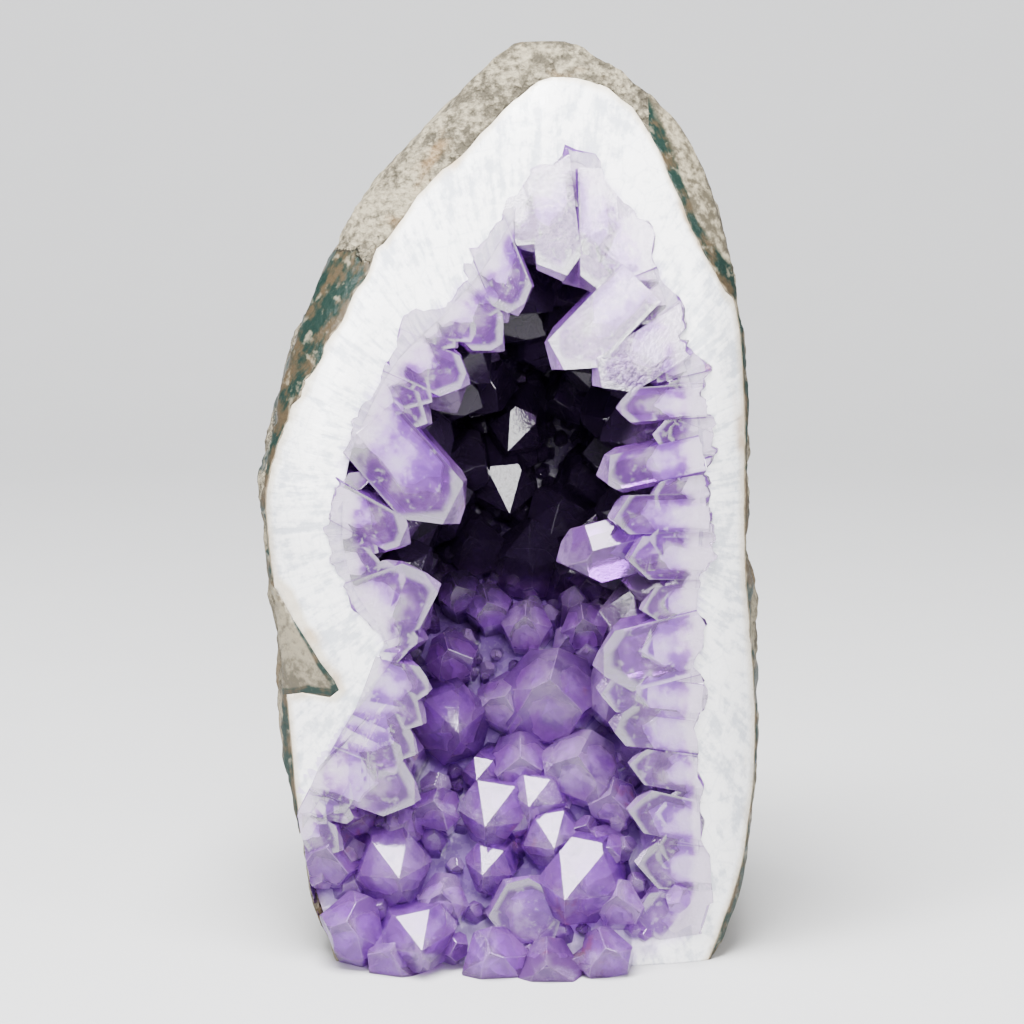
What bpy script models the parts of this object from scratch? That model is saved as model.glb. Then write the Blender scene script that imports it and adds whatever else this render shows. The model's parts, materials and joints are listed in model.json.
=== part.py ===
"""Amethyst geode: a pod of basalt and quartz, ground to a domed front and sawn flat at its base.

The pod, its quartz core and its hollow are each a star shape: a distance from a centre along
every direction, worked out from a front outline and a depth. The rock is the pod less the
core, the quartz is the core less the hollow, and the crystals line the hollow. All three are
cut by the same domed front and the same base. Metres, +Z up, front towards -Y, the origin in
the middle of the base.
"""

import math
import random

import bmesh
import bpy
import numpy as np
from mathutils import Matrix, Vector, noise

# The pod, seen from the front: (x, z) anticlockwise from the right foot.
POD_CENTRE = (0.001, -0.010, 0.070)
POD_OUTLINE = (
    (0.0395, 0.007), (0.0432, 0.024), (0.0440, 0.042), (0.0422, 0.070), (0.0417, 0.095),
    (0.0400, 0.115), (0.0365, 0.1290), (0.0305, 0.1405), (0.0222, 0.1505), (0.0130, 0.1575),
    (0.0060, 0.1605), (-0.0015, 0.1590), (-0.0075, 0.1510), (-0.0165, 0.1410), (-0.0262, 0.1290),
    (-0.0332, 0.1160), (-0.0385, 0.1010), (-0.0415, 0.0890), (-0.0431, 0.0790), (-0.0410, 0.0590),
    (-0.0391, 0.0400), (-0.0368, 0.0190), (-0.0318, 0.0020), (-0.0240, -0.0100), (0.0000, -0.0160),
    (0.0290, -0.0110),
)
POD_FRONT_DEPTH = 0.070
POD_BACK_DEPTH = 0.047
POD_POWER = 2.4

# Broken faces of the rock: an outward normal and a distance from the pod's centre.
ROCK_FACES = (
    ((-0.516, -0.338, 0.787), 0.0690),
    ((0.550, 0.300, 0.780), 0.0800),
    ((0.620, 0.740, 0.250), 0.0480),
    ((-0.640, 0.740, 0.200), 0.0490),
    ((0.150, 0.960, -0.240), 0.0455),
    ((-0.200, 0.700, 0.690), 0.0640),
)
FACE_SHARPNESS = 26
LUMP_HEIGHT = 0.0016
LUMP_SIZE = 0.016

# How thick the rock is over the quartz, and where it swells: a direction from the pod's
# centre, the extra thickness there, and how far it spreads, in radians.
ROCK_THICKNESS = 0.0014
ROCK_SWELLS = (
    ((-0.50, -0.10, 0.86), 0.0070, 0.42),
    ((-0.04, 0.10, 0.99), 0.0070, 0.26),
    ((0.00, 1.00, 0.10), 0.0035, 0.80),
    ((-0.92, -0.25, -0.36), 0.0085, 0.13),
    ((0.46, -0.34, 0.82), 0.0055, 0.15),
    ((0.55, -0.30, 0.76), 0.0040, 0.17),
)

# The ground and polished front: y = FRONT at its middle, leaning back towards the top.
FRONT = -0.0345
LEAN_FROM = 0.050
LEAN_HEIGHT = 0.105
LEAN_BACK = 0.018
LEAN_POWER = 1.8
DOME = 0.0050
EDGE_ROUNDING = 0.0080
EDGE_POWER = 9
FURTHEST_SPREAD = 1.15

# The hollow's wall, where the crystals have their roots: (x, z) anticlockwise from the right.
HOLLOW_CENTRE = (0.004, -0.030, 0.084)
HOLLOW_OUTLINE = (
    (0.0325, 0.0780), (0.0320, 0.0950), (0.0285, 0.1080), (0.0245, 0.1200), (0.0190, 0.1310),
    (0.0110, 0.1380), (0.0030, 0.1310), (-0.0040, 0.1200), (-0.0110, 0.1120), (-0.0185, 0.1045),
    (-0.0230, 0.0970), (-0.0270, 0.0870), (-0.0280, 0.0750), (-0.0260, 0.0660), (-0.0210, 0.0580),
    (-0.0190, 0.0500), (-0.0225, 0.0420), (-0.0310, 0.0360), (-0.0375, 0.0290), (-0.0375, 0.0160),
    (-0.0350, 0.0020), (-0.0290, -0.0120), (0.0020, -0.0180), (0.0310, -0.0120), (0.0325, 0.0080),
    (0.0325, 0.0260), (0.0310, 0.0440), (0.0315, 0.0610),
)
HOLLOW_FRONT_DEPTH = 0.030
HOLLOW_BACK_DEPTH = 0.050
HOLLOW_POWER = 2.3
DEEP_REACH_DOWN = 0.036
FLOOR_DISTANCE = 0.0370
FLOOR_NORMAL = (0.06, 0.882, -0.472)

# The crystals that frame the hollow, ground flush with the front, in millimetres: the root
# and the tip as (x, z), the radius, and how far behind the front the axis lies.
RIM_CRYSTALS = (
    ((-20.0, 90.0), (-8.0, 76.5), 6.5, 2.0), ((-26.5, 79.0), (-16.0, 73.5), 4.0, 1.5),
    ((-22.5, 98.0), (-12.5, 94.0), 3.8, 1.0), ((-16.5, 105.0), (-6.0, 100.5), 4.2, 1.0),
    ((-9.0, 113.5), (-0.5, 106.0), 4.4, 1.0), ((-2.5, 122.5), (2.0, 111.5), 4.2, 1.0),
    ((7.0, 134.0), (9.0, 117.0), 4.4, 1.0), ((15.0, 131.0), (15.5, 114.5), 3.8, 1.0),
    ((18.5, 114.0), (7.0, 102.5), 5.0, 1.5), ((27.0, 108.0), (14.0, 100.0), 4.8, 1.0),
    ((28.5, 97.0), (18.0, 96.5), 3.2, 0.5), ((28.0, 87.5), (14.5, 85.0), 4.0, 1.5),
    ((29.0, 78.5), (16.5, 78.5), 3.6, 1.0), ((26.0, 74.0), (8.0, 69.5), 5.6, 7.0),
    ((30.0, 71.0), (19.5, 71.5), 4.0, 0.5), ((30.0, 63.5), (22.0, 62.5), 3.6, 0.5),
    ((30.0, 56.5), (14.0, 53.0), 5.8, 1.5), ((28.0, 47.0), (14.5, 49.0), 3.8, 1.0),
    ((30.0, 41.0), (17.0, 43.0), 4.2, 1.0), ((30.5, 33.5), (20.0, 36.0), 3.8, 0.5),
    ((31.0, 25.0), (20.0, 28.0), 4.0, 0.5), ((32.0, 17.0), (21.5, 18.5), 4.2, 0.5),
    ((32.0, 9.0), (21.0, 8.0), 4.8, 0.0), ((-23.0, 62.5), (-11.0, 67.0), 5.8, 1.0),
    ((-25.5, 41.5), (-15.0, 37.5), 4.6, 0.5), ((-29.5, 34.5), (-14.5, 29.5), 5.4, 0.5),
    ((-21.5, 50.5), (-12.5, 49.0), 4.0, 0.5),
)
# The natural crystals on the sloping floor, in millimetres: the tip as (x, z) and the radius.
FLOOR_CRYSTALS = (
    ((-9.0, 62.0), 3.2), ((-3.5, 59.5), 3.6), ((-10.5, 52.0), 4.0), ((-8.5, 39.5), 6.0),
    ((-5.5, 31.0), 3.2), ((-4.0, 24.5), 5.0), ((-20.5, 22.5), 3.6), ((-27.0, 26.0), 3.4),
    ((-18.5, 16.5), 5.5), ((-31.0, 21.0), 4.6), ((-27.5, 10.0), 5.2), ((-14.5, 5.5), 5.6),
    ((-3.0, 5.5), 5.0), ((-4.5, 16.5), 3.8), ((7.5, 49.0), 7.6), ((13.0, 57.0), 3.8),
    ((12.0, 36.5), 6.2), ((3.5, 27.5), 4.6), ((17.5, 29.5), 3.6), ((8.0, 21.0), 4.2),
    ((9.5, 14.0), 6.4), ((6.5, 3.5), 4.6), ((16.5, 6.0), 4.2), ((18.5, 14.0), 3.8),
    ((-0.5, 45.0), 4.4), ((2.0, 35.5), 4.8), ((16.0, 21.5), 3.6), ((-13.0, 28.0), 3.8),
    ((-11.5, 13.5), 3.4), ((3.0, 57.5), 4.2), ((-20.0, 5.0), 4.4),
)
# The crystals of the rest of the lining: how far apart, their radius and their height.
LINING_SEED = 11
LINING_TRIES = 9000
LINING_BEHIND_FRONT = 0.0015
LINING_APART = 0.0102
LINING_RADIUS = (0.0048, 0.0068)
LINING_HEIGHT = (0.0110, 0.0155)
ROOT_DEPTH = 0.0050
TIP_SLOPE = 1.15
SIDE_SPREAD = (0.80, 1.00)
LARGE_FACE_DROP = (-0.04, 0.00)
SMALL_FACE_LIFT = (0.02, 0.12)
CRYSTAL_BLANK = 0.050
CRYSTAL_TILT = 0.30
LEAST_HEIGHT = 0.0040
HEIGHT_PER_RADIUS = 1.6
FLOOR_CRYSTAL_SPREAD = 1.32
CRUST_THICKNESS = 0.0040

GAP = 0.0004
ROOT_GAP = 0.0010
CUTTER_REACH = 0.100
BLOCK_SIDES = (-0.052, 0.054)
BLOCK_HEIGHTS = (-0.012, 0.172)
STEP = 0.0002
FLATNESS = math.radians(1)

ROCK_COLOUR = (0.23, 0.20, 0.155)
QUARTZ_COLOUR = (0.86, 0.86, 0.88)
AMETHYST_COLOUR = (0.33, 0.16, 0.56)


def clear_scene():
    """Removes the objects that the scene starts with."""
    for obj in list(bpy.data.objects):
        bpy.data.objects.remove(obj)


# Outlines and star shapes


def closed_curve(points, steps=10):
    """Points along a smooth closed curve through the given ones."""
    points = np.array(points)
    before, after = np.roll(points, 1, axis=0), np.roll(points, -1, axis=0)
    beyond = np.roll(points, -2, axis=0)
    curve = []
    for t in np.arange(steps) / steps:
        curve.append(
            0.5
            * (
                2 * points
                + (after - before) * t
                + (2 * before - 5 * points + 4 * after - beyond) * t**2
                + (3 * points - before - 3 * after + beyond) * t**3
            )
        )
    return np.stack(curve, axis=1).reshape(-1, 2)


class Outline:
    """A closed outline seen from the front, as a distance from its centre at each angle."""

    def __init__(self, points, centre):
        self.curve = closed_curve(points)
        offset = self.curve - (centre[0], centre[2])
        angle = np.arctan2(offset[:, 1], offset[:, 0])
        order = np.argsort(angle)
        self.angle = angle[order]
        self.radius = np.hypot(offset[order, 0], offset[order, 1])

    def __call__(self, angle):
        return np.interp(angle, self.angle, self.radius, period=2 * math.pi)


POD = Outline(POD_OUTLINE, POD_CENTRE)
HOLLOW = Outline(HOLLOW_OUTLINE, HOLLOW_CENTRE)


def blob_radius(direction, outline, front_depth, back_depth, power):
    """The distance from a blob's centre to its surface, along unit directions."""
    flat = np.hypot(direction[:, 0], direction[:, 2])
    angle = np.arctan2(direction[:, 2], direction[:, 0])
    depth = np.where(direction[:, 1] < 0, front_depth, back_depth)
    across = (flat / outline(angle)) ** power
    along = (np.abs(direction[:, 1]) / depth) ** power
    return (across + along) ** (-1 / power)


def lumps(direction, size, height):
    """Uneven swelling of the rock, by a fixed pattern in space."""
    scale = POD_CENTRE[2] / size
    return np.array([height * noise.noise(Vector(d) * scale) for d in direction])


def pod_radius(direction):
    """The natural outside of the rock."""
    radius = blob_radius(direction, POD, POD_FRONT_DEPTH, POD_BACK_DEPTH, POD_POWER)
    nearness = radius ** -float(FACE_SHARPNESS)
    for normal, distance in ROCK_FACES:
        unit = np.array(normal) / np.linalg.norm(normal)
        facing = np.maximum(direction @ unit, 0)
        nearness += (facing / distance) ** FACE_SHARPNESS
    return nearness ** (-1 / FACE_SHARPNESS)


def rock_thickness(direction):
    """How thick the rock is between the natural outside and the quartz."""
    thickness = np.full(len(direction), ROCK_THICKNESS)
    for towards, extra, spread in ROCK_SWELLS:
        unit = np.array(towards) / np.linalg.norm(towards)
        angle = np.arccos(np.clip(direction @ unit, -1, 1))
        thickness += extra * np.exp(-((angle / spread) ** 2))
    return thickness


def rough_pod_radius(direction):
    """The natural outside with its lumps."""
    return pod_radius(direction) + lumps(direction, LUMP_SIZE, LUMP_HEIGHT)


def core_radius(direction):
    """The outside of the quartz."""
    return pod_radius(direction) - rock_thickness(direction)


def hollow_radius(direction):
    """The wall of the hollow: deep behind its middle, with a floor that slopes to the front."""
    depths = (HOLLOW_FRONT_DEPTH, HOLLOW_BACK_DEPTH, HOLLOW_POWER)
    whole = blob_radius(direction, HOLLOW, *depths)
    unit = np.array(FLOOR_NORMAL) / np.linalg.norm(FLOOR_NORMAL)
    floor = FLOOR_DISTANCE / np.maximum(direction @ unit, 1e-3)

    def short_below(angle):
        below = DEEP_REACH_DOWN / np.maximum(-np.sin(angle), 1e-3)
        return np.minimum(HOLLOW(angle), below)

    deep = blob_radius(direction, short_below, *depths)
    return np.maximum(np.minimum(whole, floor), deep)


def front_surface(x, z):
    """y of the polished front, which curves back towards the pod's outline."""
    centre_x, _, centre_z = POD_CENTRE
    reach = np.hypot(x - centre_x, z - centre_z)
    upper = reach / POD(np.arctan2(z - centre_z, x - centre_x))
    lower = np.abs(x - centre_x) / POD(np.where(x > centre_x, 0, math.pi))
    spread = np.minimum(np.where(z > centre_z, upper, lower), FURTHEST_SPREAD)
    lean = LEAN_BACK * np.maximum((z - LEAN_FROM) / LEAN_HEIGHT, 0) ** LEAN_POWER
    return FRONT + lean + DOME * spread**2 + EDGE_ROUNDING * spread**EDGE_POWER


# Making meshes


def new_object(name, bm, is_part=True):
    """An object of this mesh; a helper is a wire that no render shows."""
    mesh = bpy.data.meshes.new(name)
    bmesh.ops.recalc_face_normals(bm, faces=bm.faces)
    if bm.calc_volume(signed=True) < 0:
        bmesh.ops.reverse_faces(bm, faces=bm.faces)
    bm.to_mesh(mesh)
    bm.free()
    obj = bpy.data.objects.new(name, mesh)
    bpy.context.scene.collection.objects.link(obj)
    if not is_part:
        obj.hide_render = True
        obj.display_type = "WIRE"
    return obj


def star_mesh(centre, radius_of, segments, rings):
    """A closed mesh around a centre, at the distance that radius_of gives each direction."""
    bm = bmesh.new()
    bmesh.ops.create_uvsphere(bm, u_segments=segments, v_segments=rings, radius=1)
    direction = np.array([v.co.normalized() for v in bm.verts])
    radius = radius_of(direction)
    for vert, d, r in zip(bm.verts, direction, radius):
        vert.co = Vector(centre) + Vector(d) * r
    bmesh.ops.triangulate(bm, faces=bm.faces)
    return bm


def box_mesh(low, high):
    """A plain box between two corners."""
    bm = bmesh.new()
    bmesh.ops.create_cube(bm, size=1)
    size = Vector(high) - Vector(low)
    middle = (Vector(high) + Vector(low)) / 2
    bmesh.ops.transform(
        bm, matrix=Matrix.Translation(middle) @ Matrix.Diagonal(size).to_4x4(), verts=bm.verts
    )
    return bm


def polished_block(columns, rows):
    """Everything behind the polished front, closed by a flat back."""
    bm = bmesh.new()
    x = np.linspace(*BLOCK_SIDES, columns)
    z = np.linspace(*BLOCK_HEIGHTS, rows)
    grid_x, grid_z = np.meshgrid(x, z)
    grid_y = front_surface(grid_x, grid_z)
    front = [
        [bm.verts.new((x[i], grid_y[j, i], z[j])) for i in range(columns)] for j in range(rows)
    ]
    for j in range(rows - 1):
        for i in range(columns - 1):
            square = (front[j][i], front[j][i + 1], front[j + 1][i + 1], front[j + 1][i])
            bm.faces.new(square)
    rim = [e for e in bm.edges if e.is_boundary]
    made = bmesh.ops.extrude_edge_only(bm, edges=rim)["geom"]
    for vert in (v for v in made if isinstance(v, bmesh.types.BMVert)):
        vert.co.y = CUTTER_REACH
    bmesh.ops.holes_fill(bm, edges=[e for e in bm.edges if e.is_boundary])
    bmesh.ops.triangulate(bm, faces=bm.faces)
    return bm


def cut(obj, operation, other, overlaps_itself=False):
    """A Boolean between a part and a helper."""
    modifier = obj.modifiers.new(f"{operation.lower()} {other.name}", "BOOLEAN")
    modifier.operation = operation
    modifier.object = other
    modifier.solver = "EXACT"
    modifier.use_self = overlaps_itself


def settle(obj):
    """Makes the cuts part of the mesh, and keeps only its one main body."""
    depsgraph = bpy.context.evaluated_depsgraph_get()
    obj.data = bpy.data.meshes.new_from_object(obj.evaluated_get(depsgraph))
    obj.modifiers.clear()
    bm = bmesh.new()
    bm.from_mesh(obj.data)
    left, bodies = set(bm.verts), []
    while left:
        body, edge = set(), [left.pop()]
        while edge:
            vert = edge.pop()
            body.add(vert)
            reached = {e.other_vert(vert) for e in vert.link_edges} & left
            left -= reached
            edge.extend(reached)
        bodies.append(body)
    bodies.sort(key=len)
    for body in bodies[:-1]:
        bmesh.ops.delete(bm, geom=list(body), context="VERTS")
    bmesh.ops.dissolve_limit(bm, angle_limit=FLATNESS, verts=bm.verts, edges=bm.edges)
    bmesh.ops.triangulate(bm, faces=bm.faces)
    bm.to_mesh(obj.data)
    bm.free()


def finish_of(name, colour, roughness):
    """A plain material for a part."""
    material = bpy.data.materials.new(name)
    material.use_nodes = True
    shader = material.node_tree.nodes["Principled BSDF"]
    shader.inputs["Base Color"].default_value = (*colour, 1)
    shader.inputs["Roughness"].default_value = roughness
    shader.inputs["Metallic"].default_value = 0
    return material


# Crystals


def hollow_point(direction):
    """The point of the hollow's wall along each direction, and the way in from the wall."""

    def excess(points):
        offset = points - HOLLOW_CENTRE
        reach = np.linalg.norm(offset, axis=1)
        return reach - hollow_radius(offset / reach[:, None])

    wall = np.array(HOLLOW_CENTRE) + direction * hollow_radius(direction)[:, None]
    slopes = [excess(wall + STEP * axis) - excess(wall - STEP * axis) for axis in np.eye(3)]
    outward = np.stack(slopes, axis=1)
    return wall, -outward / np.linalg.norm(outward, axis=1)[:, None]


def rim_crystals():
    """(root, tip, radius) of the crystals that frame the hollow."""
    for root, tip, radius, behind in RIM_CRYSTALS:
        ends = np.array([root, tip]) / 1000
        y = front_surface(ends[:, 0], ends[:, 1]) + behind / 1000
        points = np.stack([ends[:, 0], y, ends[:, 1]], axis=1)
        yield points[0], points[1], radius / 1000


def floor_crystals():
    """(root, tip, radius) of the crystals that stand on the sloping floor."""
    down = np.array(FLOOR_NORMAL) / np.linalg.norm(FLOOR_NORMAL)
    for (x, z), radius in FLOOR_CRYSTALS:
        height = LEAST_HEIGHT + HEIGHT_PER_RADIUS * radius / 1000
        tip = np.array((x / 1000, 0, z / 1000))
        offset = tip - HOLLOW_CENTRE
        tip[1] += (FLOOR_DISTANCE - height - offset @ down) / down[1]
        yield tip + height * down, tip, radius * FLOOR_CRYSTAL_SPREAD / 1000


def lining_crystals(others):
    """(root, tip, radius) of the crystals that fill the rest of the hollow."""
    rng = random.Random(LINING_SEED)
    direction = np.array([[rng.gauss(0, 1) for _ in range(3)] for _ in range(LINING_TRIES)])
    direction /= np.linalg.norm(direction, axis=1)[:, None]
    wall, inward = hollow_point(direction)
    inside = wall[:, 1] > front_surface(wall[:, 0], wall[:, 2]) + LINING_BEHIND_FRONT
    inside &= wall[:, 2] > 0
    roots = [root for root, _, _ in others]
    for place, way in zip(wall[inside], inward[inside]):
        if min(np.linalg.norm(place - root) for root in roots) < LINING_APART:
            continue
        roots.append(place)
        way = way + [rng.gauss(0, CRYSTAL_TILT / 2) for _ in range(3)]
        way *= rng.uniform(*LINING_HEIGHT) / np.linalg.norm(way)
        yield place, place + way, rng.uniform(*LINING_RADIUS)


def slice_off(bm, point, outward):
    """Cuts away what lies beyond a plane, and closes the cut."""
    everything = bm.verts[:] + bm.edges[:] + bm.faces[:]
    made = bmesh.ops.bisect_plane(
        bm, geom=everything, plane_co=point, plane_no=outward, clear_outer=True, dist=1e-7
    )
    rim = [e for e in made["geom_cut"] if isinstance(e, bmesh.types.BMEdge)]
    if len(rim) > 2:
        bmesh.ops.contextual_create(bm, geom=rim)


def crystal(root, tip, radius, rng):
    """A six-sided quartz crystal with a pyramid tip, its root sunk below the wall."""
    height = np.linalg.norm(tip - root)
    side = CRYSTAL_BLANK
    bm = box_mesh((-side, -side, -ROOT_DEPTH), (side, side, height + side))
    turn = rng.uniform(0, math.pi / 3)
    slope = math.hypot(1, TIP_SLOPE)
    for number in range(6):
        angle = turn + number * math.pi / 3
        out = Vector((math.cos(angle), math.sin(angle), 0))
        slice_off(bm, out * radius * rng.uniform(*SIDE_SPREAD), out)
        lean = (out * TIP_SLOPE + Vector((0, 0, 1))) / slope
        shift = rng.uniform(*(SMALL_FACE_LIFT if number % 2 else LARGE_FACE_DROP))
        slice_off(bm, Vector((0, 0, height * (1 + shift))), lean)
    upright = Vector(tip - root).to_track_quat("Z", "Y").to_matrix().to_4x4()
    bmesh.ops.transform(bm, matrix=Matrix.Translation(root) @ upright, verts=bm.verts)
    return bm


def polish(bm, place):
    """Grinds a crystal flush with the domed front where it stands."""
    x, _, z = place
    tilt_x = (front_surface(x + STEP, z) - front_surface(x - STEP, z)) / (2 * STEP)
    tilt_z = (front_surface(x, z + STEP) - front_surface(x, z - STEP)) / (2 * STEP)
    slice_off(bm, Vector((x, front_surface(x, z), z)), Vector((tilt_x, -1, tilt_z)).normalized())


def crystal_group():
    """All the crystals as one mesh of overlapping solids."""
    rng = random.Random(LINING_SEED)
    rim, floor = list(rim_crystals()), list(floor_crystals())
    lining = list(lining_crystals(rim + floor))
    joined = bmesh.new()
    for root, tip, radius in rim + lining + floor:
        bm = crystal(root, tip, radius, rng)
        if not any(tip is floor_tip for _, floor_tip, _ in floor):
            polish(bm, (root + tip) / 2)
        mesh = bpy.data.meshes.new("crystal")
        bm.to_mesh(mesh)
        bm.free()
        joined.from_mesh(mesh)
        bpy.data.meshes.remove(mesh)
    bmesh.ops.triangulate(joined, faces=joined.faces)
    return joined


# The parts


def inset(radius_of, by):
    """A star shape drawn in by a distance, or let out if it is negative."""
    return lambda direction: radius_of(direction) - by


def hollow_star(by=0):
    """The hollow as a mesh, drawn in by a distance."""
    return star_mesh(HOLLOW_CENTRE, inset(hollow_radius, by), 24, 18)


def core_star(by=0):
    """The quartz core as a mesh, drawn in by a distance."""
    return star_mesh(POD_CENTRE, inset(core_radius, by), 32, 20)


def basalt_rind(front, hollow, base):
    """The rough rock around the quartz."""
    rock = new_object("basalt_rind", star_mesh(POD_CENTRE, rough_pod_radius, 40, 24))
    cut(rock, "DIFFERENCE", new_object("core_room", core_star(-GAP), is_part=False))
    cut(rock, "INTERSECT", front)
    cut(rock, "DIFFERENCE", hollow)
    cut(rock, "INTERSECT", base)
    return rock


def quartz_shell(front, hollow, base):
    """The white quartz between the rock and the crystals."""
    quartz = new_object("quartz_shell", core_star())
    cut(quartz, "INTERSECT", front)
    cut(quartz, "DIFFERENCE", hollow)
    cut(quartz, "INTERSECT", base)
    return quartz


def amethyst_crust(front, base):
    """The crystals, grown together on a thin layer over the hollow's wall."""
    crust = new_object("amethyst_crust", hollow_star(GAP))
    inner = new_object("crust_inside", hollow_star(GAP + CRUST_THICKNESS), is_part=False)
    cut(crust, "DIFFERENCE", inner)
    cut(crust, "INTERSECT", front)
    crystals = new_object("crystals", crystal_group(), is_part=False)
    root_room = new_object("root_room", hollow_star(ROOT_GAP), is_part=False)
    cut(crystals, "INTERSECT", root_room, overlaps_itself=True)
    cut(crust, "UNION", crystals)
    cut(crust, "INTERSECT", base)
    return crust


def centre_on_base(parts):
    """Moves the meshes so that the middle of their footprint is the origin."""
    points = np.array([v.co for obj in parts for v in obj.data.vertices])
    middle = (points.min(axis=0) + points.max(axis=0)) / 2
    shift = Matrix.Translation((-middle[0], -middle[1], 0))
    for obj in parts:
        obj.data.transform(shift)


def build():
    """Makes the rock, the quartz and the crystals."""
    clear_scene()
    front = new_object("polished_front", polished_block(16, 26), is_part=False)
    hollow = new_object("hollow", hollow_star(), is_part=False)
    above = box_mesh((-CUTTER_REACH, -CUTTER_REACH, 0), (CUTTER_REACH, CUTTER_REACH, 0.2))
    base = new_object("above_base", above, is_part=False)
    parts = {
        basalt_rind(front, hollow, base): finish_of("rough_basalt", ROCK_COLOUR, 0.85),
        quartz_shell(front, hollow, base): finish_of("white_quartz", QUARTZ_COLOUR, 0.20),
        amethyst_crust(front, base): finish_of("amethyst", AMETHYST_COLOUR, 0.12),
    }
    for obj, material in parts.items():
        settle(obj)
        obj.data.materials.append(material)
    centre_on_base(parts)
    for helper in [obj for obj in bpy.data.objects if obj.hide_render]:
        bpy.data.objects.remove(helper)


build()
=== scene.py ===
"""Amethyst geode: the dressed model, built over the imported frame.

The rock, the quartz and the crystals follow the same formulas as the solids: each is a star
shape, a distance from a centre along every direction, cut by one domed front and one base.
Lengths are metres. Shapes are worked out in the coordinates of the stone's own drawing, and
DRAWING_TO_FRAME moves them so that the middle of the footprint is the origin.
"""

from __future__ import annotations

import json
import logging
import math
import random
from collections.abc import Callable, Iterator, Sequence
from dataclasses import dataclass, field
from enum import Enum

import bmesh
import bpy
import numpy as np
from mathutils import Matrix, Vector, noise

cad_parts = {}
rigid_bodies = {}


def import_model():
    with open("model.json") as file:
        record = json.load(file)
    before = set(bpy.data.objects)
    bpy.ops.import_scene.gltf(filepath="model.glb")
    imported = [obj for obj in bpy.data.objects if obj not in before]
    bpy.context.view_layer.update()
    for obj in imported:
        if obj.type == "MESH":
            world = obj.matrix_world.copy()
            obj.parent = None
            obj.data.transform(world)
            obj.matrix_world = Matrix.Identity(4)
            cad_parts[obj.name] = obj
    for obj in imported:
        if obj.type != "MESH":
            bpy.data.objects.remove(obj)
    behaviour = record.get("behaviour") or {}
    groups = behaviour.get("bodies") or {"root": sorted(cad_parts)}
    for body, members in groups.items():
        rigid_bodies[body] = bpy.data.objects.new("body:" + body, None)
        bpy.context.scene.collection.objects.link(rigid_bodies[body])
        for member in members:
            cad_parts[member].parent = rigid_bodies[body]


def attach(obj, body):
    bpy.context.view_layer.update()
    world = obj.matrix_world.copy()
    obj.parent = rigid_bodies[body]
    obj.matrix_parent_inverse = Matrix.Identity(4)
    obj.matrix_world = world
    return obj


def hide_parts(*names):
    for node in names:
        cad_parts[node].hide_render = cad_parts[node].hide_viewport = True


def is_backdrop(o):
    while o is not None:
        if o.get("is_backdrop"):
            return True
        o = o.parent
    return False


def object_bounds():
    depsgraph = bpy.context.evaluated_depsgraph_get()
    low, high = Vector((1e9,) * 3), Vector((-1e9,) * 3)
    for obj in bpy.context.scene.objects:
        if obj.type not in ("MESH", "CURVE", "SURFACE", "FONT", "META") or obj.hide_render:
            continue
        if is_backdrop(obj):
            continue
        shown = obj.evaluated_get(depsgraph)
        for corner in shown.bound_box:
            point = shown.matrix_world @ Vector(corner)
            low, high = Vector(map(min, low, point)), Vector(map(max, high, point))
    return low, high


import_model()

Array = np.ndarray
Pair = tuple[float, float]
Triple = tuple[float, float, float]

LOG = logging.getLogger("geode")
MM = 0.001
DRAWING_TO_FRAME = Vector((-0.00042, 0.00344, 0.0))


class Slot(Enum):
    """The record's material slots, which are also the nodes that the pieces stand for."""

    RIND = "basalt_rind"
    QUARTZ = "quartz_shell"
    CRUST = "amethyst_crust"


class Cut(Enum):
    """What a cutting mesh leaves of a piece."""

    KEEP_INSIDE = "INTERSECT"
    TAKE_AWAY = "DIFFERENCE"


# Shapes as formulas


def unit(vector: Sequence[float]) -> Array:
    """The vector at length one."""
    return np.array(vector, float) / np.linalg.norm(vector)


def smooth_step(value: Array, low: float, high: float) -> Array:
    """A smooth rise from 0 at low to 1 at high.

    Args:
        value: the numbers to map.
        low: where the rise starts.
        high: where it ends.

    Returns:
        Numbers from 0 to 1.
    """
    t = np.clip((value - low) / (high - low), 0, 1)
    return t * t * (3 - 2 * t)


@dataclass
class Outline:
    """A smooth closed outline seen from the front, as a distance from its centre."""

    points: Sequence[Pair]
    centre: Triple
    steps: int = 10
    angle: Array = field(init=False)
    radius: Array = field(init=False)

    def __post_init__(self) -> None:
        """Works out the distance at each angle."""
        points = np.array(self.points)
        before, after = np.roll(points, 1, axis=0), np.roll(points, -1, axis=0)
        beyond = np.roll(points, -2, axis=0)
        curve = []
        for t in np.arange(self.steps) / self.steps:
            bend = 2 * before - 5 * points + 4 * after - beyond
            twist = 3 * points - before - 3 * after + beyond
            curve.append((2 * points + (after - before) * t + bend * t**2 + twist * t**3) / 2)
        offset = np.stack(curve, axis=1).reshape(-1, 2) - (self.centre[0], self.centre[2])
        angle = np.arctan2(offset[:, 1], offset[:, 0])
        order = np.argsort(angle)
        self.angle = angle[order]
        self.radius = np.hypot(offset[order, 0], offset[order, 1])

    def reach(self, angle: Array) -> Array:
        """The distance from the centre to the outline at each angle."""
        return np.interp(angle, self.angle, self.radius, period=2 * math.pi)


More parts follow.
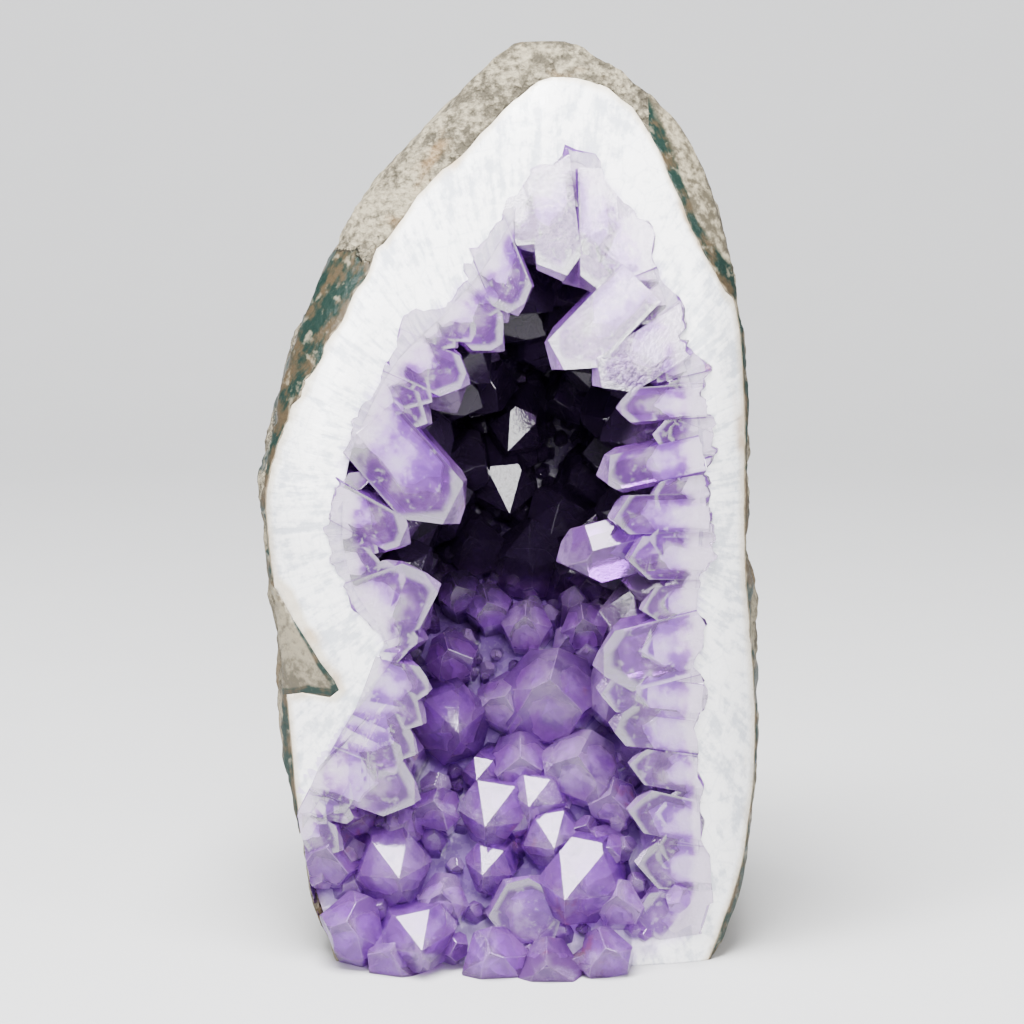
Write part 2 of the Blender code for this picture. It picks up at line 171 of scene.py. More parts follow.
@dataclass
class GeodeForm:
    """The stone's shape: pod, quartz core, hollow and polished front."""

    pod_centre: Triple = (0.001, -0.010, 0.070)
    pod_outline: Sequence[Pair] = (
        (0.0395, 0.007), (0.0432, 0.024), (0.0440, 0.042), (0.0422, 0.070), (0.0417, 0.095),
        (0.0400, 0.115), (0.0365, 0.1290), (0.0305, 0.1405), (0.0222, 0.1505), (0.0130, 0.1575),
        (0.0060, 0.1605), (-0.0015, 0.1590), (-0.0075, 0.1510), (-0.0165, 0.1410),
        (-0.0262, 0.1290), (-0.0332, 0.1160), (-0.0385, 0.1010), (-0.0415, 0.0890),
        (-0.0431, 0.0790), (-0.0410, 0.0590), (-0.0391, 0.0400), (-0.0368, 0.0190),
        (-0.0318, 0.0020), (-0.0240, -0.0100), (0.0000, -0.0160), (0.0290, -0.0110),
    )
    pod_depths: Triple = (0.070, 0.047, 2.4)
    rock_faces: Sequence[tuple[Triple, float]] = (
        ((-0.516, -0.338, 0.787), 0.0690), ((0.550, 0.300, 0.780), 0.0800),
        ((0.620, 0.740, 0.250), 0.0480), ((-0.640, 0.740, 0.200), 0.0490),
        ((0.150, 0.960, -0.240), 0.0455), ((-0.200, 0.700, 0.690), 0.0640),
    )
    face_sharpness: float = 26.0
    lump_height: float = 0.0016
    lump_size: float = 0.016
    rock_thickness: float = 0.0014
    rock_swells: Sequence[tuple[Triple, float, float]] = (
        ((-0.50, -0.10, 0.86), 0.0070, 0.42), ((-0.04, 0.10, 0.99), 0.0070, 0.26),
        ((0.00, 1.00, 0.10), 0.0035, 0.80), ((0.40, -0.03, 0.916), 0.0050, 0.13),
        ((0.49, -0.08, 0.868), 0.0045, 0.10), ((0.57, -0.12, 0.813), 0.0028, 0.09),
    )
    notch: Sequence[Pair] = (
        (-0.0500, 0.0700), (-0.0405, 0.0668), (-0.0372, 0.0645), (-0.0352, 0.0600),
        (-0.0330, 0.0562), (-0.0312, 0.0530), (-0.0290, 0.0500), (-0.0283, 0.0484),
        (-0.0298, 0.0470), (-0.0340, 0.0474), (-0.0372, 0.0462), (-0.0500, 0.0450),
    )
    notch_front: float = -0.0335
    notch_back: float = -0.012
    notch_bands: float = 2.2
    notch_taper: float = 0.006
    seam_height: float = 0.0005
    seam_size: float = 0.0042
    front: float = -0.0345
    lean_from: float = 0.050
    lean_height: float = 0.105
    lean_back: float = 0.018
    lean_power: float = 1.8
    dome: float = 0.0050
    edge_rounding: float = 0.0080
    edge_power: float = 9.0
    furthest_spread: float = 1.15
    hollow_centre: Triple = (0.004, -0.030, 0.084)
    hollow_outline: Sequence[Pair] = (
        (0.0325, 0.0780), (0.0320, 0.0950), (0.0285, 0.1080), (0.0245, 0.1200),
        (0.0190, 0.1310), (0.0110, 0.1380), (0.0030, 0.1310), (-0.0040, 0.1200),
        (-0.0110, 0.1120), (-0.0185, 0.1045), (-0.0230, 0.0970), (-0.0270, 0.0870),
        (-0.0280, 0.0750), (-0.0260, 0.0660), (-0.0210, 0.0580), (-0.0190, 0.0500),
        (-0.0225, 0.0420), (-0.0310, 0.0360), (-0.0375, 0.0290), (-0.0375, 0.0160),
        (-0.0350, 0.0020), (-0.0290, -0.0120), (0.0020, -0.0180), (0.0310, -0.0120),
        (0.0325, 0.0080), (0.0325, 0.0260), (0.0310, 0.0440), (0.0315, 0.0610),
    )
    hollow_depths: Triple = (0.030, 0.050, 2.3)
    deep_reach_down: float = 0.036
    floor_distance: float = 0.0370
    floor_normal: Triple = (0.06, 0.882, -0.472)
    step: float = 0.0002
    pod: Outline = field(init=False)
    hollow: Outline = field(init=False)
    down: Array = field(init=False)

    def __post_init__(self) -> None:
        """Draws the outlines."""
        self.pod = Outline(self.pod_outline, self.pod_centre)
        self.hollow = Outline(self.hollow_outline, self.hollow_centre)
        self.down = unit(self.floor_normal)

    @staticmethod
    def blob(direction: Array, reach: Callable[[Array], Array], depths: Triple) -> Array:
        """The distance from a blob's centre to its surface.

        Args:
            direction: unit directions, one a row.
            reach: the front outline's distance at an angle.
            depths: the depth in front, the depth behind, and the power that rounds it.

        Returns:
            A distance for each direction.
        """
        front, back, power = depths
        flat = np.hypot(direction[:, 0], direction[:, 2])
        angle = np.arctan2(direction[:, 2], direction[:, 0])
        depth = np.where(direction[:, 1] < 0, front, back)
        across = (flat / reach(angle)) ** power
        along = (np.abs(direction[:, 1]) / depth) ** power
        return (across + along) ** (-1 / power)

    def pod_radius(self, direction: Array) -> Array:
        """The natural outside of the rock, before its lumps.

        Args:
            direction: unit directions from the pod's centre.

        Returns:
            The distance along each.
        """
        radius = self.blob(direction, self.pod.reach, self.pod_depths)
        nearness = radius**-self.face_sharpness
        for normal, distance in self.rock_faces:
            facing = np.maximum(direction @ unit(normal), 0)
            nearness += (facing / distance) ** self.face_sharpness
        return nearness ** (-1 / self.face_sharpness)

    def core_radius(self, direction: Array) -> Array:
        """The outside of the quartz, with the small waves of its seam with the rock.

        Args:
            direction: unit directions from the pod's centre.

        Returns:
            The distance along each.
        """
        thickness = np.full(len(direction), self.rock_thickness)
        for towards, extra, spread in self.rock_swells:
            angle = np.arccos(np.clip(direction @ unit(towards), -1, 1))
            thickness += extra * np.exp(-((angle / spread) ** 2))
        scale = self.pod_centre[2] / self.seam_size
        waves = np.array([noise.fractal(Vector(d) * scale, 0.8, 2.0, 3) for d in direction])
        wavy = np.clip(thickness / self.rock_thickness - 0.7, 0, 1.6)
        return self.pod_radius(direction) - thickness + self.seam_height * waves * wavy

    def hollow_radius(self, direction: Array) -> Array:
        """The hollow's wall: deep behind its middle, with a floor that slopes to the front.

        Args:
            direction: unit directions from the hollow's centre.

        Returns:
            The distance along each.
        """
        whole = self.blob(direction, self.hollow.reach, self.hollow_depths)
        floor = self.floor_distance / np.maximum(direction @ self.down, 1e-3)

        def short_below(angle: Array) -> Array:
            """The outline with its lower part drawn up."""
            below = self.deep_reach_down / np.maximum(-np.sin(angle), 1e-3)
            return np.minimum(self.hollow.reach(angle), below)

        deep = self.blob(direction, short_below, self.hollow_depths)
        return np.maximum(np.minimum(whole, floor), deep)

    def on_floor(self, points: Array) -> Array:
        """Whether points of the hollow's wall lie on its sloping floor."""
        height = self.floor_distance - (points - self.hollow_centre) @ self.down
        return np.abs(height) < 0.0006

    def in_notch(self, points: Array) -> Array:
        """How far points lie inside the notch of rock at the left, seen from the front.

        Args:
            points: places of the stone.

        Returns:
            A distance for each, below zero outside the notch.
        """
        flat = points[:, [0, 2]]
        nearest, inside = np.full(len(flat), 1.0), np.zeros(len(flat), bool)
        corners = np.array(self.notch)
        for one, other in zip(corners, np.roll(corners, -1, axis=0)):
            along = other - one
            share = np.clip((flat - one) @ along / (along @ along), 0, 1)
            away = np.linalg.norm(flat - one - share[:, None] * along, axis=1)
            nearest = np.minimum(nearest, away)
            crosses = (one[1] > flat[:, 1]) != (other[1] > flat[:, 1])
            height = along[1] if along[1] else 1e-9
            inside ^= crosses & (flat[:, 0] < one[0] + along[0] * (flat[:, 1] - one[1]) / height)
        return np.where(inside, nearest, -nearest)

    def quartz_depth(self, points: Array) -> Array:
        """How far points lie inside the quartz's outer seam.

        Args:
            points: places of the stone.

        Returns:
            A distance for each, below zero in the rock.
        """
        offset = points - self.pod_centre
        reach = np.linalg.norm(offset, axis=1)
        depth = self.core_radius(offset / reach[:, None]) - reach
        notch = np.where(points[:, 1] < self.notch_back, self.in_notch(points), -1.0)
        return np.where(notch > 0, -self.notch_bands * notch, np.minimum(depth, -notch))

    def hollow_shade(self, points: Array) -> Array:
        """How deep in the hollow points lie, from 0 at its mouth and on its floor to 1: where the
        finishes paint shade.

        Args:
            points: places of the stone.

        Returns:
            A number for each.
        """
        behind = points[:, 1] - self.front_y(points[:, 0], points[:, 2])
        return smooth_step(behind, 0.005, 0.015) * smooth_step(points[:, 2], 0.055, 0.066)

    def front_y(self, x: Array, z: Array) -> Array:
        """y of the polished front, which curves back towards the pod's outline.

        Args:
            x: places across the front.
            z: heights of the same shape.

        Returns:
            y at each place.
        """
        centre_x, _, centre_z = self.pod_centre
        reach = np.hypot(x - centre_x, z - centre_z)
        upper = reach / self.pod.reach(np.arctan2(z - centre_z, x - centre_x))
        lower = np.abs(x - centre_x) / self.pod.reach(np.where(x > centre_x, 0, math.pi))
        spread = np.minimum(np.where(z > centre_z, upper, lower), self.furthest_spread)
        rise = np.maximum((z - self.lean_from) / self.lean_height, 0)
        lean = self.lean_back * rise**self.lean_power
        rounding = self.edge_rounding * spread**self.edge_power
        return self.front + lean + self.dome * spread**2 + rounding

    def hollow_wall(self, direction: Array) -> tuple[Array, Array]:
        """Points of the hollow's wall and the way in from it.

        Args:
            direction: unit directions from the hollow's centre.

        Returns:
            The points, and the inward normals.
        """

        def excess(points: Array) -> Array:
            """How far points lie beyond the wall.

            Args:
                points: places of the stone.

            Returns:
                A distance for each, below zero inside the hollow.
            """
            offset = points - self.hollow_centre
            reach = np.linalg.norm(offset, axis=1)
            return reach - self.hollow_radius(offset / reach[:, None])

        wall = np.array(self.hollow_centre) + direction * self.hollow_radius(direction)[:, None]
        slopes = [excess(wall + self.step * a) - excess(wall - self.step * a) for a in np.eye(3)]
        outward = np.stack(slopes, axis=1)
        return wall, -outward / np.linalg.norm(outward, axis=1)[:, None]


# Meshes


def object_from(name: str, bm: bmesh.types.BMesh) -> bpy.types.Object:
    """A linked object of this mesh, with its faces turned outwards.

    Args:
        name: the object's name.
        bm: the mesh, which is freed.

    Returns:
        The new object.
    """
    bmesh.ops.recalc_face_normals(bm, faces=bm.faces)
    if bm.calc_volume(signed=True) < 0:
        bmesh.ops.reverse_faces(bm, faces=bm.faces)
    mesh = bpy.data.meshes.new(name)
    bm.to_mesh(mesh)
    bm.free()
    obj = bpy.data.objects.new(name, mesh)
    bpy.context.scene.collection.objects.link(obj)
    return obj


def closed_net(name: str, points_of: Callable[[Array], Array], cuts: int) -> bpy.types.Object:
    """A closed shape on an even net of squares.

    Args:
        name: the object's name.
        points_of: the place for each unit direction.
        cuts: how many squares lie along each side of the six patches.

    Returns:
        The new object.
    """
    bm = bmesh.new()
    bmesh.ops.create_cube(bm, size=2)
    bmesh.ops.subdivide_edges(bm, edges=bm.edges, cuts=cuts - 1, use_grid_fill=True)
    flat = np.array([v.co for v in bm.verts])
    direction = np.tan(flat * math.pi / 4)
    direction /= np.linalg.norm(direction, axis=1)[:, None]
    for vert, point in zip(bm.verts, points_of(direction)):
        vert.co = point
    bmesh.ops.triangulate(bm, faces=bm.faces)
    return object_from(name, bm)


def star(
    name: str, centre: Triple, radius_of: Callable[[Array], Array], cuts: int
) -> bpy.types.Object:
    """A closed star shape.

    Args:
        name: the object's name.
        centre: where the directions start.
        radius_of: the distance along each unit direction.
        cuts: how many squares lie along each side of the six patches.

    Returns:
        The new object.
    """
    return closed_net(name, lambda d: np.array(centre) + d * radius_of(d)[:, None], cuts)


def block_behind(name: str, form: GeodeForm, columns: int, rows: int) -> bpy.types.Object:
    """Everything behind the polished front.

    Args:
        name: the object's name.
        form: the stone's shape.
        columns: how many points lie across the front.
        rows: how many points lie up it.

    Returns:
        The new object, closed by a flat back.
    """
    bm = bmesh.new()
    across, up = np.linspace(-0.052, 0.054, columns), np.linspace(-0.012, 0.172, rows)
    grid_x, grid_z = np.meshgrid(across, up)
    grid_y = form.front_y(grid_x, grid_z)
    front = [
        [bm.verts.new(p) for p in zip(*line)] for line in zip(grid_x, grid_y, grid_z)
    ]
    for low, high in zip(front, front[1:]):
        for a, b, c, d in zip(low, low[1:], high[1:], high):
            bm.faces.new((a, b, c, d))
    rim = [e for e in bm.edges if e.is_boundary]
    made = bmesh.ops.extrude_edge_only(bm, edges=rim)["geom"]
    for vert in (v for v in made if isinstance(v, bmesh.types.BMVert)):
        vert.co.y = 0.1
    bmesh.ops.holes_fill(bm, edges=[e for e in bm.edges if e.is_boundary])
    bmesh.ops.triangulate(bm, faces=bm.faces)
    return object_from(name, bm)


def notch_block(name: str, form: GeodeForm) -> bpy.types.Object:
    """The notch of rock in the quartz at the left, tapered towards its back.

    Args:
        name: the object's name.
        form: the stone's shape.

    Returns:
        The new object.
    """
    bm = bmesh.new()
    front = [bm.verts.new((x, form.notch_front, z)) for x, z in form.notch]
    back = [bm.verts.new((x - form.notch_taper, form.notch_back, z)) for x, z in form.notch]
    bm.faces.new(front)
    bm.faces.new(back[::-1])
    for number in range(len(front)):
        bm.faces.new((front[number - 1], front[number], back[number], back[number - 1]))
    bmesh.ops.triangulate(bm, faces=bm.faces)
    return object_from(name, bm)


def base_block(name: str, low: Vector, high: Vector) -> bpy.types.Object:
    """Everything above the sawn base, as far out as the solids reach.

    Args:
        name: the object's name.
        low: the solids' lowest corner in the frame.
        high: their highest corner.

    Returns:
        The new object, in the drawing's coordinates.
    """
    bm = bmesh.new()
    bmesh.ops.create_cube(bm, size=1)
    middle = Matrix.Translation((low + high) / 2 - DRAWING_TO_FRAME)
    bmesh.ops.transform(bm, matrix=middle @ Matrix.Diagonal((*(high - low), 1)), verts=bm.verts)
    return object_from(name, bm)


def cut(obj: bpy.types.Object, way: Cut, other: bpy.types.Object) -> None:
    """Cuts a piece by a closed mesh, and makes the cut part of its mesh.

    Args:
        obj: the piece.
        way: what is left of it.
        other: the cutting mesh.
    """
    modifier = obj.modifiers.new("cut", "BOOLEAN")
    modifier.operation = way.value
    modifier.object = other
    modifier.solver = "MANIFOLD"
    depsgraph = bpy.context.evaluated_depsgraph_get()
    mesh = bpy.data.meshes.new_from_object(obj.evaluated_get(depsgraph))
    obj.modifiers.clear()
    obj.data = mesh


def join(group: bpy.types.Collection, name: str) -> bpy.types.Object:
    """Joins overlapping closed meshes into one closed mesh without inner faces.

    Args:
        group: the collection that holds them, which is removed with them.
        name: the new object's name.

    Returns:
        The new object.
    """
    first, *others = group.objects[:]
    group.objects.unlink(first)
    bpy.context.scene.collection.objects.link(first)
    modifier = first.modifiers.new("join", "BOOLEAN")
    modifier.operation, modifier.solver = "UNION", "MANIFOLD"
    modifier.operand_type, modifier.collection = "COLLECTION", group
    depsgraph = bpy.context.evaluated_depsgraph_get()
    mesh = bpy.data.meshes.new_from_object(first.evaluated_get(depsgraph))
    for other in others:
        bpy.data.objects.remove(other)
    bpy.data.collections.remove(group)
    first.modifiers.clear()
    first.data, first.name = mesh, name
    mesh.name = name
    return first


def drop_crumbs(obj: bpy.types.Object, least: int = 12) -> None:
    """Deletes the loose crumbs that a cut leaves.

    Args:
        obj: the piece.
        least: how many faces the smallest loose part that stays has.
    """
    bm = bmesh.new()
    bm.from_mesh(obj.data)
    crumbs = []
    for face in bm.faces:
        face.tag = False
    for face in bm.faces:
        if face.tag:
            continue
        face.tag, island = True, [face]
        for one in island:
            for other in (f for edge in one.edges for f in edge.link_faces):
                if not other.tag:
                    other.tag = True
                    island.append(other)
        if len(island) < least:
            crumbs += island
    bmesh.ops.delete(bm, geom=crumbs, context="FACES")
    bm.to_mesh(obj.data)
    bm.free()


def mesh_points(obj: bpy.types.Object) -> Array:
    """The places of a mesh's points.

    Args:
        obj: the piece.

    Returns:
        A row for each point.
    """
    points = np.empty(len(obj.data.vertices) * 3)
    obj.data.vertices.foreach_get("co", points)
    return points.reshape(-1, 3)


def face_middles(obj: bpy.types.Object) -> Array:
    """The middle of each face of a mesh.

    Args:
        obj: the piece.

    Returns:
        A row for each face.
    """
    middles = np.empty(len(obj.data.polygons) * 3)
    obj.data.polygons.foreach_get("center", middles)
    return middles.reshape(-1, 3)


def write_numbers(obj: bpy.types.Object, name: str, numbers: Array, domain: str = "POINT") -> None:
    """Keeps numbers on a mesh for its material.

    Args:
        obj: the piece.
        name: the attribute's name.
        numbers: one number or one triple for each point or face.
        domain: POINT or FACE.
    """
    kind, key = ("FLOAT_VECTOR", "vector") if numbers.ndim == 2 else ("FLOAT", "value")
    attribute = obj.data.attributes.new(name, kind, domain)
    attribute.data.foreach_set(key, np.ascontiguousarray(numbers, np.float32).ravel())


def place(obj: bpy.types.Object, slot: Slot, material: bpy.types.Material) -> None:
    """Moves a finished piece into the frame, gives it its finish, and hides the model's part that
    it stands for.

    Args:
        obj: the piece, still in the drawing's coordinates.
        slot: the slot and node that it stands for.
        material: its finish.
    """
    obj.data.transform(Matrix.Translation(DRAWING_TO_FRAME))
    obj.data.materials.clear()
    obj.data.materials.append(material)
    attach(obj, "root")
    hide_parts(slot.value)
    LOG.info("%s: %d faces", obj.name, len(obj.data.polygons))


# Finishes

Socket = bpy.types.NodeSocket
Value = Socket | float


@dataclass
class Graph:
    """A material's nodes, with a short method for each kind that the finishes use."""

    name: str
    material: bpy.types.Material = field(init=False)
    shader: bpy.types.Node = field(init=False)

    def __post_init__(self) -> None:
        """Makes the material."""
        self.material = bpy.data.materials.new(self.name)
        self.material.use_nodes = True
        self.shader = self.material.node_tree.nodes["Principled BSDF"]

    def put(self, kind: str, inputs: dict[str | int, object], **settings: object) -> bpy.types.Node:
        """Adds a node.

        Args:
            kind: the node's type.
            inputs: a socket to link, or a value to set, for each input.
            settings: the node's own properties.

        Returns:
            The node.
        """
        node = self.material.node_tree.nodes.new(kind)
        for key, value in settings.items():
            setattr(node, key, value)
        for key, value in inputs.items():
            if isinstance(value, Socket):
                self.material.node_tree.links.new(value, node.inputs[key])
            else:
                node.inputs[key].default_value = value
        return node

    def number(self, name: str) -> Socket:
        """A number kept on the mesh."""
        return self.put("ShaderNodeAttribute", {}, attribute_name=name).outputs["Fac"]

    def triple(self, name: str) -> Socket:
        """A triple kept on the mesh."""
        return self.put("ShaderNodeAttribute", {}, attribute_name=name).outputs["Vector"]

    def here(self) -> Socket:
        """The place on the object."""
        return self.put("ShaderNodeTexCoord", {}).outputs["Object"]

    def noise(
        self,
        at: Socket,
        scale: float,
        detail: float = 3.0,
        rough: float = 0.55,
        warp: float = 0.0,
    ) -> Socket:
        """Cloudy noise.

        Args:
            at: where it is read.
            scale: how many clouds a unit holds.
            detail: how many finer layers it has.
            rough: how strong they are.
            warp: how far it is bent.

        Returns:
            A number around 0.5.
        """
        inputs = {"Vector": at, "Scale": scale, "Detail": detail}
        inputs |= {"Roughness": rough, "Distortion": warp}
        return self.put("ShaderNodeTexNoise", inputs).outputs["Fac"]

    def cells(self, at: Socket, scale: float, feature: str = "F1") -> Socket:
        """Cells, as the distance to the nearest seed or edge.

        Args:
            at: where they are read.
            scale: how many cells a unit holds.
            feature: what the distance is to.

        Returns:
            The distance.
        """
        inputs = {"Vector": at, "Scale": scale}
        return self.put("ShaderNodeTexVoronoi", inputs, feature=feature).outputs["Distance"]

    def calc(self, operation: str, *values: Value) -> Socket:
        """Arithmetic on one to three numbers."""
        return self.put("ShaderNodeMath", dict(enumerate(values)), operation=operation).outputs[0]

    def span(
        self, value: Value, low: float, high: float, first: float = 0.0, last: float = 1.0
    ) -> Socket:
        """A smooth change from one number to another.

        Args:
            value: the number that drives it.
            low: where the change starts.
            high: where it ends.
            first: the number before it.
            last: the number after it.

        Returns:
            The changed number.
        """
        inputs = {"Value": value, "From Min": low, "From Max": high}
        inputs |= {"To Min": first, "To Max": last}
        node = self.put("ShaderNodeMapRange", inputs, interpolation_type="SMOOTHSTEP")
        return node.outputs["Result"]

    def blend(self, amount: Value, first: Socket | Triple, second: Socket | Triple) -> Socket:
        """A mix of two colours.

        Args:
            amount: 0 for the first, 1 for the second.
            first: a colour.
            second: another.

        Returns:
            The mixed colour.
        """
        node = self.put("ShaderNodeMix", {}, data_type="RGBA")
        for index, value in ((0, amount), (6, first), (7, second)):
            if isinstance(value, Socket):
                self.material.node_tree.links.new(value, node.inputs[index])
            else:
                node.inputs[index].default_value = (*value, 1) if index else value
        return node.outputs[2]

    def bump(self, height: Socket, strength: float, distance: float) -> Socket:
        """A relief in the shading.

        Args:
            height: the relief.
            strength: how strong it is.
            distance: how high it is.

        Returns:
            The normal.
        """
        inputs = {"Height": height, "Strength": strength, "Distance": distance}
        return self.put("ShaderNodeBump", inputs).outputs["Normal"]

    def finish(self, **sockets: object) -> bpy.types.Material:
        """Sets the shader's own sockets, with _ for each space.

        Args:
            sockets: a socket to link or a value to set.

        Returns:
            The finished material.
        """
        for key, value in sockets.items():
            target = self.shader.inputs[key.replace("_", " ")]
            if isinstance(value, Socket):
                self.material.node_tree.links.new(value, target)
            elif isinstance(value, tuple):
                target.default_value = (*value, 1) if len(target.default_value) == 4 else value
            else:
                target.default_value = value
        return self.material


@dataclass(frozen=True)
class BasaltFinish:
    """Grey-tan weathered basalt, with a dark green and brown agate band where it is polished."""

    pale: Triple = (0.360, 0.320, 0.235)
    dark: Triple = (0.100, 0.087, 0.062)
    rust: Triple = (0.300, 0.190, 0.090)
    green: Triple = (0.012, 0.030, 0.024)
    brown: Triple = (0.075, 0.056, 0.033)
    seam: Triple = (0.330, 0.270, 0.190)

    def make(self) -> bpy.types.Material:
        """Makes the material.

        Returns:
            The material.
        """
        g = Graph("weathered_basalt")
        here = g.here()
        broad = g.noise(here, 90, 4, 0.6)
        fine = g.noise(here, 620, 5, 0.65)
        pits = g.cells(here, 900)
        tone = g.calc("MULTIPLY_ADD", fine, 0.55, g.calc("MULTIPLY", broad, 0.45))
        rough = g.blend(g.span(tone, 0.41, 0.57), self.dark, self.pale)
        rusty = g.span(g.noise(here, 60, 3, 0.6, 0.6), 0.54, 0.70, 0, 0.6)
        rough = g.blend(rusty, rough, self.rust)
        rough = g.blend(g.span(pits, 0.05, 0.30, 0.35, 0.0), rough, self.dark)
        rough = g.blend(g.calc("MULTIPLY", g.number("notched"), 0.42), rough, self.dark)
        depth = g.number("depth")
        wander = g.calc("MULTIPLY_ADD", g.noise(here, 260, 3), 1.4, depth)
        bands = g.noise(g.put("ShaderNodeCombineXYZ", {"X": wander}).outputs[0], 1.2, 1)
        bands = g.calc("MULTIPLY_ADD", g.noise(here, 240, 3), 0.75, g.calc("MULTIPLY", bands, 0.25))
        agate = g.blend(g.span(bands, 0.46, 0.60), self.green, self.brown)
        agate = g.blend(g.span(g.noise(here, 420, 4), 0.56, 0.72, 0, 0.55), agate, self.pale)
        agate = g.blend(g.span(depth, 0.35, 0.05, 0, 0.9), agate, self.seam)
        patches = g.calc("SUBTRACT", g.noise(here, 170, 4, 0.6), 0.5)
        beside = g.span(g.calc("MULTIPLY_ADD", patches, 1.8, g.number("beside")), 0.42, 0.60)
        reach = g.calc("MULTIPLY_ADD", beside, -20.0, wander)
        ground = g.blend(g.span(reach, 3.4, 4.4), agate, rough)
        section = g.calc("MAXIMUM", g.number("section"), beside)
        relief = g.calc("MULTIPLY_ADD", pits, 0.35, fine)
        height = g.calc("MULTIPLY", relief, g.span(section, 0, 1, 1.0, 0.12))
        return g.finish(
            Base_Color=g.blend(section, rough, ground),
            Roughness=g.span(section, 0, 1, 0.88, 0.34),
            Normal=g.bump(height, 1.0, 0.0017),
        )


@dataclass(frozen=True)
class QuartzFinish:
    """White quartz in fibres that run in from the rock, milky and a little see-through."""

    white: Triple = (0.94, 0.94, 0.945)
    milky: Triple = (0.47, 0.50, 0.56)
    cream: Triple = (0.62, 0.55, 0.43)
    stain: Triple = (0.40, 0.25, 0.11)
    lilac: Triple = (0.52, 0.38, 0.70)
    inside: Triple = (0.26, 0.15, 0.42)
    # Painted shade colour for the deep hollow.
    painted_shade: Triple = (0.045, 0.025, 0.080)

    def make(self) -> bpy.types.Material:
        """Makes the material.

        Returns:
            The material.
        """
        g = Graph("white_quartz")
        here, fibre = g.here(), g.triple("fibre")
        threads = g.noise(fibre, 1.0, 3, 0.6)
        clouds = g.noise(here, 110, 3, 0.6)
        grains = g.noise(here, 900, 1, 0.6)
        sugar = g.noise(here, 430, 3, 0.7)
        tone = g.calc("MULTIPLY_ADD", threads, 0.40, g.calc("MULTIPLY", clouds, 0.30))
        tone = g.calc("MULTIPLY_ADD", sugar, 0.30, tone)
        colour = g.blend(g.span(tone, 0.53, 0.41, 0, 0.75), self.white, self.milky)
        cracks = g.cells(here, 210.0, "DISTANCE_TO_EDGE")
        colour = g.blend(g.span(cracks, 0.05, 0.0, 0, 0.22), colour, self.milky)
        from_rock = g.number("from_rock")
        blots = g.span(g.noise(here, 48, 3), 0.56, 0.66)
        stain = g.calc("MULTIPLY", blots, g.span(from_rock, 2.8, 0.2))
        colour = g.blend(g.span(from_rock, 1.6, 0.0, 0, 0.8), colour, self.cream)
        colour = g.blend(g.calc("MULTIPLY", stain, 0.75), colour, self.stain)
        ragged = g.calc("SUBTRACT", threads, 0.5)
        near = g.calc("MULTIPLY_ADD", ragged, 7.0, g.number("from_hollow"))
        colour = g.blend(g.span(near, 2.6, -1.0, 0, 0.55), colour, self.lilac)
        colour = g.blend(g.span(g.number("within"), 1.0, 9.0), colour, self.inside)
        # Painted shade: darker deep in the hollow, where little light reaches.
        colour = g.blend(g.span(g.number("hollow_shade"), 0.1, 0.8), colour, self.painted_shade)
        relief = g.calc("MULTIPLY_ADD", sugar, 0.8, threads)
        return g.finish(
            Base_Color=colour,
            Roughness=g.span(grains, 0.3, 0.7, 0.16, 0.34),
            IOR=1.544,
            Normal=g.bump(relief, 0.16, 0.0005),
        )


@dataclass(frozen=True)
class MilkyRootFinish:
    """The cloudy white roots inside the crystals, lilac towards their tips."""

    white: Triple = (0.93, 0.89, 0.96)
    lilac: Triple = (0.64, 0.46, 0.85)
    # Painted shade colour for the deep hollow.
    painted_shade: Triple = (0.09, 0.06, 0.14)

    def make(self) -> bpy.types.Material:
        """Makes the material.

        Returns:
            The material.
        """
        g = Graph("milky_root")
        here = g.here()
        clouds, grains = g.noise(here, 320, 3, 0.65), g.noise(here, 1400, 2, 0.6)
        out = g.calc("MULTIPLY_ADD", g.calc("SUBTRACT", clouds, 0.5), 7.0, g.number("wall"))
        colour = g.blend(g.span(out, 1.2, 5.0), self.white, self.lilac)
        # Painted shade: darker deep in the hollow, where little light reaches.
        colour = g.blend(g.span(g.number("hollow_shade"), 0.1, 0.8), colour, self.painted_shade)
        return g.finish(
            Base_Color=colour,
            Roughness=g.span(grains, 0.3, 0.7, 0.35, 0.6),
            Normal=g.bump(g.calc("MULTIPLY_ADD", grains, 0.4, clouds), 0.5, 0.0008),
        )


